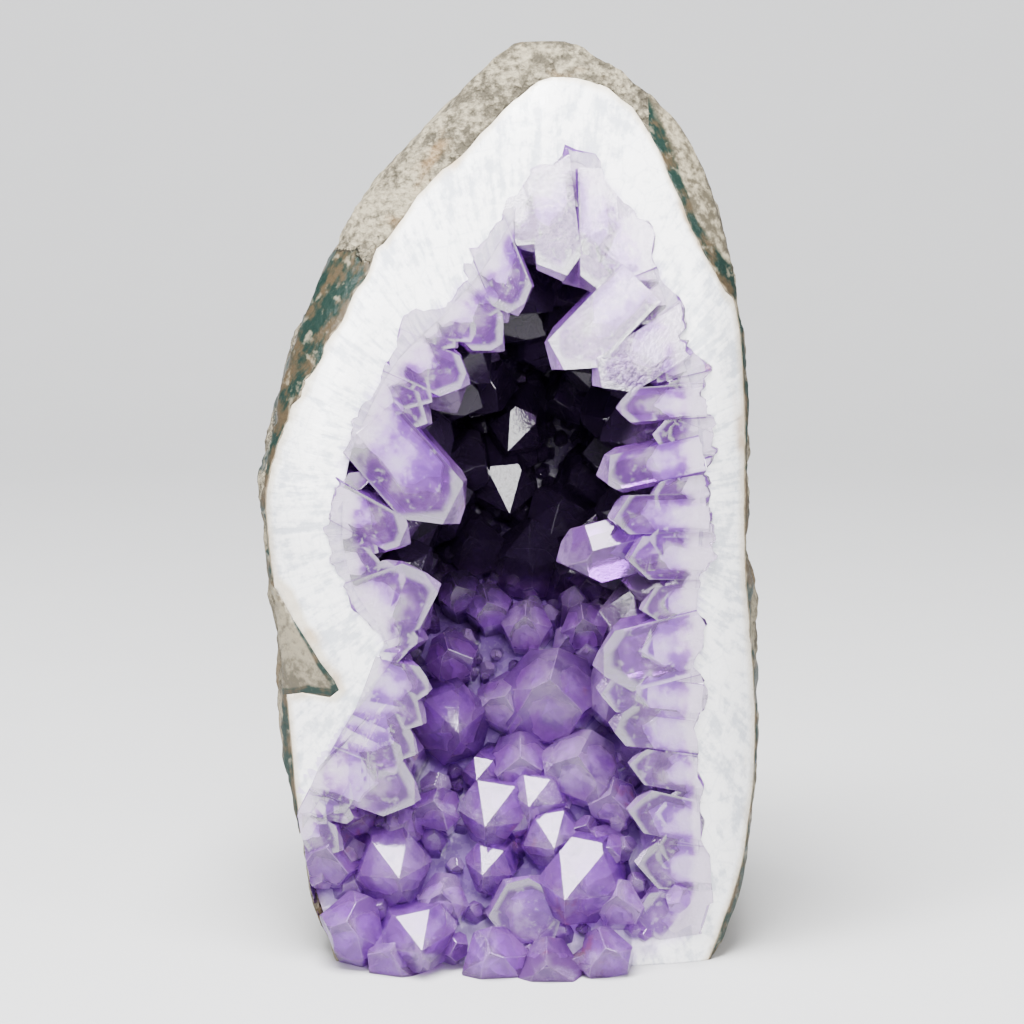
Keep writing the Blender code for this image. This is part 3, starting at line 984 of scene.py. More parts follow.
@dataclass(frozen=True)
class AmethystFinish:
    """Clear purple quartz: pale at the roots, deep at the tips, zoned where it is ground; painted
    shade on its own faces towards their roots and deep in the hollow, and a painted highlight on
    its bevelled edges.
    """

    root: Triple = (0.92, 0.87, 0.96)
    lilac: Triple = (0.76, 0.55, 0.90)
    purple: Triple = (0.41, 0.19, 0.60)
    deep: Triple = (0.19, 0.07, 0.34)
    white: Triple = (0.95, 0.93, 0.97)
    # Painted shade colour for the deep hollow.
    painted_shade: Triple = (0.135, 0.090, 0.195)
    rose: Triple = (0.55, 0.20, 0.28)
    body: Triple = (0.62, 0.24, 0.72)

    @staticmethod
    def zone(g: Graph, x: Value, y: Value, z: Value) -> Socket:
        """Growth zones: 1 on the crystal's own faces, less towards its axis and root.

        Args:
            g: the material's nodes.
            x: across, in radii.
            y: across, in radii.
            z: up, in heights.

        Returns:
            The zone's number.
        """
        half, rise = g.calc("MULTIPLY", x, 0.5), g.calc("MULTIPLY", y, 0.866)
        first = g.calc("ABSOLUTE", g.calc("ADD", half, rise))
        second = g.calc("ABSOLUTE", g.calc("SUBTRACT", half, rise))
        wide = g.calc("MAXIMUM", g.calc("ABSOLUTE", x), g.calc("MAXIMUM", first, second))
        return g.calc("MAXIMUM", wide, g.calc("MULTIPLY_ADD", wide, g.number("slope"), z))

    def make(self) -> bpy.types.Material:
        """Makes the material.

        Returns:
            The material.
        """
        g = Graph("amethyst")
        here, tint, wall = g.here(), g.number("tint"), g.number("wall")
        x, y, z = g.put("ShaderNodeSeparateXYZ", {"Vector": g.triple("grown")}).outputs
        zone = self.zone(g, x, y, z)
        clouds = g.noise(here, 230, 3, 0.6)
        veils = g.noise(here, 560, 3, 0.7)
        sparks = g.noise(here, 1500, 2, 0.7)
        drift = g.calc("SUBTRACT", clouds, 0.5)
        # Painted shade: the crystals' own faces darken from the tip towards the root, where they
        # crowd together, and turn lilac towards the tip.
        rise = g.calc("MULTIPLY_ADD", drift, 1.3, g.calc("MULTIPLY_ADD", tint, 0.4, z))
        natural = g.blend(g.span(rise, 0.10, 0.60, 0.15, 1), self.deep, self.purple)
        natural = g.blend(g.span(rise, 0.70, 1.25, 0, 0.9), natural, self.lilac)
        natural = g.blend(g.span(clouds, 0.53, 0.64, 0, 0.6), natural, self.deep)
        natural = g.blend(g.span(veils, 0.60, 0.72, 0, 0.3), natural, self.lilac)
        glow = g.span(g.noise(here, 75, 2), 0.62, 0.70)
        rose = g.calc("MULTIPLY", glow, g.span(veils, 0.5, 0.6))
        natural = g.blend(g.calc("MULTIPLY", rose, 0.6), natural, self.rose)
        # Painted highlight: the bevelled edges are paler lilac.
        natural = g.blend(g.calc("MULTIPLY", g.number("edge"), 0.35), natural, self.lilac)
        core = g.calc("MULTIPLY_ADD", drift, 1.5, zone)
        ground = g.blend(g.span(core, 0.18, 0.50), self.root, self.lilac)
        ground = g.blend(g.span(core, 0.42, 0.66, 0, 0.95), ground, self.purple)
        ground = g.blend(g.span(core, 0.66, 0.86, 0, 0.50), ground, self.deep)
        ground = g.blend(g.span(zone, 0.86, 0.95, 0, 0.85), ground, self.white)
        ground = g.blend(g.span(veils, 0.55, 0.68, 0, 0.65), ground, self.white)
        rooted = g.span(g.calc("MULTIPLY_ADD", drift, 6.0, wall), 3.4, 0.2)
        ground = g.blend(rooted, ground, self.root)
        section = g.number("section")
        colour = g.blend(section, natural, ground)
        # Painted shade: crystals darken deep in the hollow, where little light reaches.
        hollow_shade = g.calc("MULTIPLY_ADD", drift, 0.5, g.number("hollow_shade"))
        colour = g.blend(g.span(hollow_shade, 0.15, 0.85, 0, 0.96), colour, self.painted_shade)
        out = g.finish(
            Base_Color=colour,
            Roughness=g.span(sparks, 0.35, 0.70, 0.03, 0.14),
            Transmission_Weight=0.76,
            IOR=1.544,
            Normal=g.bump(sparks, 0.10, 0.0002),
        )
        tree = out.node_tree
        inner = g.put("ShaderNodeVolumeAbsorption", {"Color": (*self.body, 1), "Density": 110.0})
        tree.links.new(inner.outputs[0], tree.nodes["Material Output"].inputs["Volume"])
        return out


# The pieces


@dataclass
class Rind:
    """The rough basalt outside, ground with the quartz at the front."""

    form: GeodeForm
    squares: int = 112
    inner_squares: int = 60
    grain: Sequence[tuple[float, float]] = ((0.0055, 0.00070), (0.0022, 0.00040), (0.0010, 0.00016))
    worn_back: float = 0.00055
    least_rock: float = 0.00035
    band_foot: Pair = (0.078, 0.092)
    band_top: Pair = (0.128, 0.115)
    band_back: Pair = (0.013, 0.005)
    notch_edge: float = 0.0004
    flush: float = 0.00008
    ground_below: float = 0.120
    ground_right: float = 0.024
    chip_size: float = 0.0075
    chip_height: float = 0.0007
    finish: BasaltFinish = BasaltFinish()

    def outside(self, direction: Array) -> Array:
        """The rock's surface with its lumps, chips and grain.

        Args:
            direction: unit directions from the pod's centre.

        Returns:
            The distance along each.
        """
        form = self.form
        radius = form.pod_radius(direction)
        points = direction * radius[:, None]
        scale = form.pod_centre[2] / form.lump_size
        relief = np.array([form.lump_height * noise.noise(Vector(d) * scale) for d in direction])
        for size, height in self.grain:
            relief += [height * noise.noise(Vector(p) / size) for p in points]
        chips = np.array([noise.voronoi(Vector(p) / self.chip_size)[0][0] for p in points])
        relief -= self.chip_height * np.maximum(0.55 - chips, 0) / 0.55
        least = form.core_radius(direction) + self.least_rock
        return np.maximum(radius + relief - self.worn_back, least)

    def build(
        self, front: bpy.types.Object, hollow: bpy.types.Object, base: bpy.types.Object
    ) -> None:
        """Makes the rind.

        Args:
            front: everything behind the polished front.
            hollow: the hollow.
            base: everything above the base.
        """
        form = self.form
        rind = star("rough_rind", form.pod_centre, self.outside, self.squares)
        core = star("core_room", form.pod_centre, form.core_radius, self.inner_squares)
        notch = notch_block("notch", form)
        cut(core, Cut.TAKE_AWAY, notch)
        bpy.data.objects.remove(notch)
        cut(rind, Cut.TAKE_AWAY, core)
        cut(rind, Cut.KEEP_INSIDE, front)
        cut(rind, Cut.TAKE_AWAY, hollow)
        cut(rind, Cut.KEEP_INSIDE, base)
        bpy.data.objects.remove(core)
        write_numbers(rind, "depth", -form.quartz_depth(mesh_points(rind)) / MM)
        points = mesh_points(rind)
        behind = points[:, 1] - form.front_y(points[:, 0], points[:, 2])
        level = smooth_step(points[:, 2], *self.band_foot)
        level *= smooth_step(points[:, 2], *self.band_top)
        beside = level * (points[:, 0] < 0) * smooth_step(behind, *self.band_back)
        write_numbers(rind, "beside", beside)
        notched = (form.in_notch(points) > -self.notch_edge) & (points[:, 1] < form.notch_back)
        write_numbers(rind, "notched", notched.astype(float))
        middle = face_middles(rind)
        ground = np.abs(middle[:, 1] - form.front_y(middle[:, 0], middle[:, 2])) < self.flush
        ground &= (middle[:, 2] < self.ground_below) | (middle[:, 0] > self.ground_right)
        write_numbers(rind, "section", ground.astype(float), "FACE")
        rind.data.shade_smooth()
        place(rind, Slot.RIND, self.finish.make())


@dataclass
class QuartzShell:
    """The white quartz between the rock and the crystals."""

    form: GeodeForm
    squares: int = 60
    fibre_turns: float = 36.0
    fibre_length: float = 0.0060
    finish: QuartzFinish = QuartzFinish()

    def build(
        self, front: bpy.types.Object, hollow: bpy.types.Object, base: bpy.types.Object
    ) -> None:
        """Makes the shell.

        Args:
            front: everything behind the polished front.
            hollow: the hollow.
            base: everything above the base.
        """
        form = self.form
        shell = star("milky_quartz", form.pod_centre, form.core_radius, self.squares)
        notch = notch_block("notch", form)
        cut(shell, Cut.TAKE_AWAY, notch)
        bpy.data.objects.remove(notch)
        cut(shell, Cut.KEEP_INSIDE, front)
        cut(shell, Cut.TAKE_AWAY, hollow)
        cut(shell, Cut.KEEP_INSIDE, base)
        points = mesh_points(shell)
        write_numbers(shell, "from_rock", form.quartz_depth(points) / MM)
        from_middle = points - form.hollow_centre
        reach = np.linalg.norm(from_middle, axis=1)
        gap = reach - form.hollow_radius(from_middle / reach[:, None])
        write_numbers(shell, "from_hollow", gap / MM)
        within = points[:, 1] - form.front_y(points[:, 0], points[:, 2])
        write_numbers(shell, "within", within / MM * (gap < 0.0003))
        write_numbers(shell, "hollow_shade", form.hollow_shade(points))
        angle = np.arctan2(from_middle[:, 2], from_middle[:, 0])
        flat = np.hypot(from_middle[:, 0], from_middle[:, 2])
        turns = self.fibre_turns
        fibre = np.stack(
            [np.cos(angle) * turns, np.sin(angle) * turns, flat / self.fibre_length], axis=1
        )
        write_numbers(shell, "fibre", fibre)
        shell.data.shade_smooth()
        place(shell, Slot.QUARTZ, self.finish.make())


@dataclass(frozen=True)
class Crystal:
    """One crystal: where it stands, how wide it is, and whether it is ground with the front."""

    root: Array
    tip: Array
    radius: float
    ground: bool
    catch: Array | None = None

    def height(self) -> float:
        """From the root to the tip."""
        return float(np.linalg.norm(self.tip - self.root))

    def turned(self, turn: float = 0.0) -> Matrix:
        """From the crystal's own axes to the stone's.

        Args:
            turn: how far the crystal is turned about its axis.

        Returns:
            The matrix. A crystal with a face that catches the light is turned to bring it there.
        """
        upright = Vector(self.tip - self.root).to_track_quat("Z", "Y").to_matrix().to_4x4()
        if self.catch is not None:
            facing = upright.inverted() @ Vector(self.catch)
            turn = math.atan2(facing.y, facing.x)
        return Matrix.Translation(Vector(self.root)) @ upright @ Matrix.Rotation(turn, 4, "Z")


@dataclass
class CrystalCrust:
    """The amethyst crystals that line the hollow."""

    form: GeodeForm
    rim: Sequence[tuple[Pair, Pair, float, float]] = (
        ((-20.0, 90.0), (-8.0, 76.5), 6.5, 2.0), ((-26.5, 79.0), (-16.0, 73.5), 4.0, 1.5),
        ((-22.5, 98.0), (-12.5, 94.0), 3.8, 1.0), ((-16.5, 105.0), (-6.0, 100.5), 4.2, 1.0),
        ((-9.0, 113.5), (-0.5, 106.0), 4.4, 1.0), ((-2.5, 122.5), (2.0, 111.5), 4.2, 1.0),
        ((7.0, 134.0), (9.0, 117.0), 4.4, 1.0), ((15.0, 131.0), (15.5, 114.5), 3.8, 1.0),
        ((18.5, 114.0), (7.0, 102.5), 5.0, 1.5), ((27.0, 108.0), (14.0, 100.0), 4.8, 1.0),
        ((28.5, 97.0), (18.0, 96.5), 3.2, 0.5), ((28.0, 87.5), (14.5, 85.0), 4.0, 1.5),
        ((29.0, 78.5), (16.5, 78.5), 3.6, 1.0), ((26.0, 74.0), (8.0, 69.5), 5.6, 7.0),
        ((30.0, 71.0), (19.5, 71.5), 4.0, 0.5), ((30.0, 63.5), (22.0, 62.5), 3.6, 0.5),
        ((30.0, 56.5), (14.0, 53.0), 5.8, 1.5), ((28.0, 47.0), (14.5, 49.0), 3.8, 1.0),
        ((30.0, 41.0), (17.0, 43.0), 4.2, 1.0), ((30.5, 33.5), (20.0, 36.0), 3.8, 0.5),
        ((31.0, 25.0), (20.0, 28.0), 4.0, 0.5), ((32.0, 17.0), (21.5, 18.5), 4.2, 0.5),
        ((32.0, 9.0), (21.0, 8.0), 4.8, 0.0), ((-23.0, 62.5), (-11.0, 67.0), 5.8, 1.0),
        ((-25.5, 41.5), (-15.0, 37.5), 4.6, 0.5), ((-29.5, 34.5), (-14.5, 29.5), 5.4, 0.5),
        ((-21.5, 50.5), (-12.5, 49.0), 4.0, 0.5),
    )
    floor: Sequence[tuple[Pair, float, bool]] = (
        ((-9.0, 62.0), 3.2, False), ((-3.5, 59.5), 3.6, False), ((-10.5, 52.0), 4.0, False),
        ((-8.5, 39.5), 6.0, True), ((-5.5, 31.0), 3.2, True), ((-4.0, 24.5), 5.0, True),
        ((-20.5, 22.5), 3.6, True), ((-27.0, 26.0), 3.4, False), ((-18.5, 16.5), 5.5, True),
        ((-31.0, 21.0), 4.6, False), ((-27.5, 10.0), 5.2, False), ((-14.5, 5.5), 5.6, True),
        ((-3.0, 5.5), 5.0, False), ((-4.5, 16.5), 3.8, True), ((7.5, 49.0), 7.6, False),
        ((13.0, 57.0), 3.8, False), ((12.0, 36.5), 6.2, False), ((3.5, 27.5), 4.6, True),
        ((17.5, 29.5), 3.6, False), ((8.0, 21.0), 4.2, True), ((9.5, 14.0), 6.4, True),
        ((6.5, 3.5), 4.6, False), ((16.5, 6.0), 4.2, False), ((18.5, 14.0), 3.8, False),
        ((-0.5, 45.0), 4.4, False), ((2.0, 35.5), 4.8, False), ((16.0, 21.5), 3.6, False),
        ((-13.0, 28.0), 3.8, False), ((-11.5, 13.5), 3.4, False), ((3.0, 57.5), 4.2, False),
        ((-20.0, 5.0), 4.4, False),
    )
    fillers: Sequence[tuple[Pair, Pair, float, float]] = (
        ((-23.0, 47.0), (-13.5, 43.0), 4.4, 0.8), ((-27.0, 40.5), (-17.5, 34.5), 4.0, 0.6),
        ((-31.0, 38.0), (-22.5, 31.0), 4.2, 0.8), ((-34.5, 33.5), (-26.0, 27.5), 4.4, 0.6),
        ((-37.0, 29.5), (-30.0, 24.5), 4.2, 0.6), ((-36.0, 24.0), (-28.0, 20.0), 3.6, 0.4),
        ((-24.0, 43.5), (-16.5, 40.0), 3.4, 0.2), ((-32.5, 36.0), (-26.5, 31.0), 3.0, 0.2),
    )
    seed: int = 11
    tries: int = 9000
    lining_behind_front: float = 0.0015
    lining_apart: float = 0.0102
    lining_radius: Pair = (0.0048, 0.0068)
    lining_height: Pair = (0.0110, 0.0155)
    root_depth: float = 0.0050
    tip_slope: float = 1.15
    side_spread: Pair = (0.80, 1.00)
    large_face_drop: Pair = (-0.04, 0.00)
    small_face_lift: Pair = (0.02, 0.12)
    blank: float = 0.050
    tilt: float = 0.30
    least_height: float = 0.0040
    height_per_radius: float = 1.6
    floor_spread: float = 1.30
    druse_tries: int = 20000
    druse_apart: Pair = (0.0026, 0.0058)
    druse_radius: Pair = (0.0011, 0.0036)
    edge_width: float = 0.00012
    proud: float = 0.00003
    root_room: float = 0.0016
    bright_drop: float = 0.02
    floor_lift: float = 2.4
    floor_narrowing: float = 1.7
    floor_druse: float = 0.75
    glint_width: float = 0.96
    glints: Sequence[Pair] = (
        (-0.0020, 0.0860), (0.0050, 0.0830), (-0.0075, 0.0740), (0.0015, 0.0930), (0.0100, 0.0900),
        (-0.0080, 0.0980), (0.0040, 0.0750),
    )
    front_lamp: Array = field(default_factory=lambda: np.array((0.150, -1.200, 0.620)))
    core_width: float = 0.80
    core_length: Pair = (0.40, 0.64)
    core_sink: float = 0.00035
    eye: Array = field(default_factory=lambda: np.array((0.0007, -0.740, 0.217)))
    lamp: Array = field(default_factory=lambda: np.array((-0.080, -0.200, 0.750)))
    skin: float = 0.00040
    finish: AmethystFinish = AmethystFinish()

    def rim_crystals(self) -> Iterator[Crystal]:
        """The crystals that frame the hollow."""
        yield from self.framing(self.rim)

    def framing(self, places: Sequence[tuple[Pair, Pair, float, float]]) -> Iterator[Crystal]:
        """Crystals whose ends lie near the front.

        Args:
            places: root, tip, radius and depth behind the front, in mm.

        Returns:
            Each crystal.
        """
        for root, tip, radius, behind in places:
            ends = np.array([root, tip]) * MM
            y = self.form.front_y(ends[:, 0], ends[:, 1]) + behind * MM
            points = np.stack([ends[:, 0], y, ends[:, 1]], axis=1)
            yield Crystal(points[0], points[1], radius * MM, True)

    def floor_crystals(self) -> Iterator[Crystal]:
        """The crystals that stand on the sloping floor.

        Returns:
            Each crystal.
        """
        down, rng = self.form.down, random.Random(self.seed + 3)
        for (x, z), radius, bright in self.floor:
            height = self.least_height + self.height_per_radius * radius * MM
            tip = np.array((x * MM, 0, z * MM))
            offset = tip - self.form.hollow_centre
            tip[1] += (self.form.floor_distance - height - offset @ down) / down[1]
            into, catch = down, None
            if bright:
                catch = unit(unit(self.eye - tip) + unit(self.lamp - tip))
                sideways = np.cross(catch, (0, 0, 1)) * rng.uniform(-0.55, 0.55)
                fall = np.cross(catch, np.cross(catch, (0, 0, 1))) + sideways
                slant = math.atan(self.tip_slope)
                into = -(catch * math.cos(slant) + unit(fall) * math.sin(slant))
            yield Crystal(tip + height * into, tip, radius * self.floor_spread * MM, False, catch)

    def between_crystals(self, rim: Sequence[Crystal]) -> Iterator[Crystal]:
        """Shorter crystals that close the band between those that frame the hollow.

        Args:
            rim: the crystals that frame it.

        Returns:
            Each new crystal.
        """
        rng = random.Random(self.seed + 2)
        centre = np.array(self.form.hollow_centre)[[0, 2]]

        def bearing(crystal: Crystal) -> float:
            """The angle of a crystal's root around the hollow."""
            return math.atan2(crystal.root[2] - centre[1], crystal.root[0] - centre[0])

        ordered = sorted(rim, key=bearing)
        for one, other in zip(ordered, ordered[1:]):
            for share, length in ((0.5, 0.72), (0.18, 0.5), (0.82, 0.5)):
                angle = bearing(one) + (bearing(other) - bearing(one)) * share
                reach = float(self.form.hollow.reach(np.array([angle]))[0])
                x, z = centre + reach * np.array((math.cos(angle), math.sin(angle)))
                y = float(self.form.front_y(np.array([x]), np.array([z]))[0])
                root = np.array((x, y + rng.uniform(0.0002, 0.0018), z))
                way = (1 - share) * (one.tip - one.root) + share * (other.tip - other.root)
                way = way + [rng.gauss(0, 0.0018) for _ in range(3)]
                radius = (one.radius + other.radius) / 2 * rng.uniform(0.55, 0.85)
                yield Crystal(root, root + way * length * rng.uniform(0.8, 1.15), radius, True)

    def wall_darts(self, rng: random.Random, tries: int) -> tuple[Array, Array]:
        """Places spread at random over the hollow's wall.

        Args:
            rng: the source of the directions.
            tries: how many places.

        Returns:
            The places, and the way in from each.
        """
        direction = np.array([[rng.gauss(0, 1) for _ in range(3)] for _ in range(tries)])
        direction /= np.linalg.norm(direction, axis=1)[:, None]
        return self.form.hollow_wall(direction)

    def lining_crystals(self, others: Sequence[Crystal]) -> Iterator[Crystal]:
        """The large crystals that fill the rest of the hollow.

        Args:
            others: the crystals that are already there.

        Returns:
            Each new crystal.
        """
        rng = random.Random(self.seed)
        wall, inward = self.wall_darts(rng, self.tries)
        front = self.form.front_y(wall[:, 0], wall[:, 2])
        inside = (wall[:, 1] > front + self.lining_behind_front) & (wall[:, 2] > 0)
        roots = [other.root for other in others]
        lining = []
        for spot, way in zip(wall[inside], inward[inside]):
            if min(np.linalg.norm(spot - root) for root in roots) < self.lining_apart:
                continue
            roots.append(spot)
            way = way + [rng.gauss(0, self.tilt / 2) for _ in range(3)]
            way *= rng.uniform(*self.lining_height) / np.linalg.norm(way)
            lining.append(Crystal(spot, spot + way, rng.uniform(*self.lining_radius), True))
        for x, z in self.glints:
            away = [math.hypot(c.root[0] - x, c.root[2] - z) - 3 * c.root[1] for c in lining]
            chosen = int(np.argmin(away))
            lining[chosen] = self.facing_lamp(lining[chosen], rng)
        yield from lining

    def facing_lamp(self, crystal: Crystal, rng: random.Random) -> Crystal:
        """A crystal tilted so that one face of its tip catches the front lamp.

        Args:
            crystal: the crystal as it grew.
            rng: the source of its lean.

        Returns:
            The tilted crystal.
        """
        catch = unit(unit(self.eye - crystal.tip) + unit(self.front_lamp - crystal.tip))
        own = unit(crystal.tip - crystal.root)
        lean = unit(own - catch * (own @ catch) + [rng.gauss(0, 0.15) for _ in range(3)])
        lean = unit(lean - catch * (lean @ catch))
        slant = math.atan(self.tip_slope)
        way = (catch * math.cos(slant) + lean * math.sin(slant)) * crystal.height()
        radius = crystal.radius * self.glint_width
        return Crystal(crystal.root, crystal.root + way, radius, True, catch)

    def druse_crystals(self, others: Sequence[Crystal]) -> Iterator[Crystal]:
        """The small crystals between the large ones.

        Args:
            others: the large crystals.

        Returns:
            Each small crystal.
        """
        rng = random.Random(self.seed + 1)
        wall, inward = self.wall_darts(rng, self.druse_tries)
        front = self.form.front_y(wall[:, 0], wall[:, 2])
        on_floor = self.form.on_floor(wall)
        inside = (wall[:, 1] > front - np.where(on_floor, 0.0, 0.002)) & (wall[:, 2] > -0.001)
        back = [np.array(other.turned().inverted()) for other in others]
        roots = np.empty((0, 3))
        for spot, way, natural in zip(wall[inside], inward[inside], on_floor[inside]):
            size = rng.random() ** 1.6 * (self.floor_druse if natural else 1.0)
            apart = self.druse_apart[0] + size * (self.druse_apart[1] - self.druse_apart[0])
            if len(roots) and np.min(np.sum((roots - spot) ** 2, axis=1)) < apart**2:
                continue
            radius = self.druse_radius[0] + size * (self.druse_radius[1] - self.druse_radius[0])
            way = way + [rng.gauss(0, self.tilt * 0.8) for _ in range(3)]
            way *= radius * rng.uniform(2.2, 3.4) / np.linalg.norm(way)
            tip = spot + way
            if self.buried(tip, back, others):
                continue
            roots = np.vstack([roots, spot])
            yield Crystal(spot, tip, radius, not natural)

    @staticmethod
    def buried(point: Array, back: Sequence[Array], others: Sequence[Crystal]) -> bool:
        """Whether a point is inside a large crystal.

        Args:
            point: the point.
            back: from the stone's axes to each crystal's own.
            others: the large crystals.

        Returns:
            True if one of them holds it.
        """
        for turn, other in zip(back, others):
            own = turn[:3, :3] @ point + turn[:3, 3]
            height = np.linalg.norm(other.tip - other.root)
            if own[2] + 1.15 * np.hypot(own[0], own[1]) < height * 0.92:
                if np.hypot(own[0], own[1]) < other.radius * 0.9:
                    return True
        return False

    @staticmethod
    def slice_off(
        bm: bmesh.types.BMesh, point: Vector, outward: Vector
    ) -> list[bmesh.types.BMFace]:
        """Cuts away what lies beyond a plane, and closes the cut.

        Args:
            bm: the crystal.
            point: a point of the plane.
            outward: the plane's normal.

        Returns:
            The new face, in a list that is empty where the plane misses.
        """
        geometry = bm.verts[:] + bm.edges[:] + bm.faces[:]
        made = bmesh.ops.bisect_plane(
            bm, geom=geometry, plane_co=point, plane_no=outward, clear_outer=True, dist=1e-7
        )
        rim = [e for e in made["geom_cut"] if isinstance(e, bmesh.types.BMEdge)]
        if len(rim) < 3:
            return []
        return bmesh.ops.contextual_create(bm, geom=rim)["faces"]

    def shape(
        self, crystal: Crystal, sides: Sequence[float], shifts: Sequence[float]
    ) -> bmesh.types.BMesh:
        """A six-sided crystal with a pyramid tip, its root sunk below the wall.

        Args:
            crystal: what to make.
            sides: how far out each side stands, as a share of the radius.
            shifts: how far each face of the tip is raised, as a share of the height.

        Returns:
            The crystal's mesh, in its own axes, with one side facing its X.
        """
        height = crystal.height()
        bm = bmesh.new()
        bmesh.ops.create_cube(bm, size=1)
        tall = self.root_depth + height + self.blank
        stretch = Matrix.Diagonal((2 * self.blank, 2 * self.blank, tall, 1))
        lift = Matrix.Translation((0, 0, tall / 2 - self.root_depth))
        bmesh.ops.transform(bm, matrix=lift @ stretch, verts=bm.verts)
        slope = math.hypot(1, self.tip_slope)
        for number in range(6):
            angle = number * math.pi / 3
            out = Vector((math.cos(angle), math.sin(angle), 0))
            self.slice_off(bm, out * crystal.radius * sides[number], out)
            lean = (out * self.tip_slope + Vector((0, 0, 1))) / slope
            self.slice_off(bm, Vector((0, 0, height * (1 + shifts[number]))), lean)
        return bm

    def bevel_edges(self, bm: bmesh.types.BMesh) -> None:
        """Takes the sharpness off a crystal's edges, and marks the bevels for a painted highlight.

        Args:
            bm: the crystal's mesh.
        """
        edges = [e for e in bm.edges if e.calc_length() > 4 * self.edge_width]
        made = bmesh.ops.bevel(
            bm, geom=edges, offset=self.edge_width, segments=1, affect="EDGES", clamp_overlap=True
        )
        for face in made["faces"]:
            face.material_index = 2

    def grind(self, bm: bmesh.types.BMesh, crystal: Crystal, sink: float) -> None:
        """Cuts a crystal flush with the domed front where it stands.

        Args:
            bm: the crystal's mesh, in the stone's axes.
            crystal: what it was made from.
            sink: how far behind the front the cut lies.
        """
        x, _, z = (crystal.root + crystal.tip) / 2
        front, step = self.form.front_y, self.form.step
        tilt_x = (front(x + step, z) - front(x - step, z)) / (2 * step)
        tilt_z = (front(x, z + step) - front(x, z - step)) / (2 * step)
        point = Vector((x, front(x, z) + sink, z))
        for face in self.slice_off(bm, point, Vector((tilt_x, -1, tilt_z)).normalized()):
            face.material_index = 1

    def piece(self, crystal: Crystal, number: int, rng: random.Random) -> bpy.types.Object | None:
        """One crystal as an object, its faces marked with its number and what they are.

        Args:
            crystal: what to make.
            number: its number, from one.
            rng: the source of its unevenness.

        Returns:
            The object, or None where nothing of the crystal is left.
        """
        turn = rng.uniform(0, math.pi / 3)
        sides, shifts = [], []
        for side in range(6):
            sides.append(rng.uniform(*self.side_spread))
            shift = self.small_face_lift if side % 2 else self.large_face_drop
            shifts.append(rng.uniform(*shift))
        if not crystal.ground:
            shifts[1::2] = [shift * self.floor_lift for shift in shifts[1::2]]
            sides = [1 - (1 - side) * self.floor_narrowing for side in sides]
        if crystal.catch is not None:
            shifts[0] = shifts[1] = shifts[5] = -self.bright_drop
        for bevelled in (True, False):
            bm = self.shape(crystal, sides, shifts)
            if bevelled:
                self.bevel_edges(bm)
            bmesh.ops.transform(bm, matrix=crystal.turned(turn), verts=bm.verts)
            if crystal.ground:
                self.grind(bm, crystal, -self.proud)
            bmesh.ops.triangulate(bm, faces=bm.faces)
            sound = len(bm.faces) > 3 and all(e.is_manifold for e in bm.edges)
            if sound:
                break
            bm.free()
        if not sound:
            return None
        kinds = np.array([face.material_index for face in bm.faces], float)
        for face in bm.faces:
            face.material_index = 0
        obj = object_from("crystal", bm)
        write_numbers(obj, "number", np.full(len(kinds), float(number)), "FACE")
        write_numbers(obj, "section", (kinds == 1).astype(float), "FACE")
        # The bevels' marks carry the painted highlight on the edges.
        write_numbers(obj, "edge", (kinds == 2).astype(float), "FACE")
        return obj

    @staticmethod
    def roughen(bm: bmesh.types.BMesh, radius: float) -> None:
        """Gives a root an uneven, cloudy skin.

        Args:
            bm: the root, in its own axes.
            radius: its radius.
        """
        bmesh.ops.triangulate(bm, faces=bm.faces)
        bmesh.ops.subdivide_edges(bm, edges=bm.edges, cuts=2, use_grid_fill=True)
        for vert in bm.verts:
            push = noise.noise_vector(vert.co / (radius * 0.55))
            push += noise.noise_vector(vert.co / 0.0009) * 0.35
            vert.co += push * radius * 0.16

    def milky_roots(self, crystals: Sequence[Crystal], cutters: Sequence[bpy.types.Object]) -> None:
        """Makes the white, cloudy roots inside the large crystals.

        Args:
            crystals: the large crystals.
            cutters: what the roots are kept inside of.
        """
        rng = random.Random(self.seed + 4)
        group = bpy.data.collections.new("roots")
        bpy.context.scene.collection.children.link(group)
        for crystal in crystals:
            way = crystal.tip - crystal.root
            length = rng.uniform(*self.core_length) * (1.0 if crystal.ground else 0.7)
            width = crystal.radius * self.core_width * (1.0 if crystal.ground else 0.8)
            root = Crystal(crystal.root, crystal.root + way * length, width, crystal.ground)
            sides = [rng.uniform(0.55, 1.0) for _ in range(6)]
            shifts = [rng.uniform(-0.25, 0.25) for _ in range(6)]
            bm = self.shape(root, sides, shifts)
            self.roughen(bm, root.radius)
            bmesh.ops.transform(bm, matrix=root.turned(rng.uniform(0, 1)), verts=bm.verts)
            if crystal.ground:
                self.grind(bm, crystal, self.core_sink)
            bmesh.ops.triangulate(bm, faces=bm.faces)
            if len(bm.faces) < 4 or not all(e.is_manifold for e in bm.edges):
                bm.free()
                continue
            for face in bm.faces:
                face.material_index = 0
            obj = object_from("root", bm)
            bpy.context.scene.collection.objects.unlink(obj)
            group.objects.link(obj)
        roots = join(group, "milky_roots")
        for cutter in cutters:
            cut(roots, Cut.KEEP_INSIDE, cutter)
        drop_crumbs(roots)
        points = mesh_points(roots)
        offset = points - self.form.hollow_centre
        reach = np.linalg.norm(offset, axis=1)
        wall = self.form.hollow_radius(offset / reach[:, None]) - reach
        write_numbers(roots, "wall", wall / MM)
        write_numbers(roots, "hollow_shade", self.form.hollow_shade(points))
        place(roots, Slot.QUARTZ, MilkyRootFinish().make())

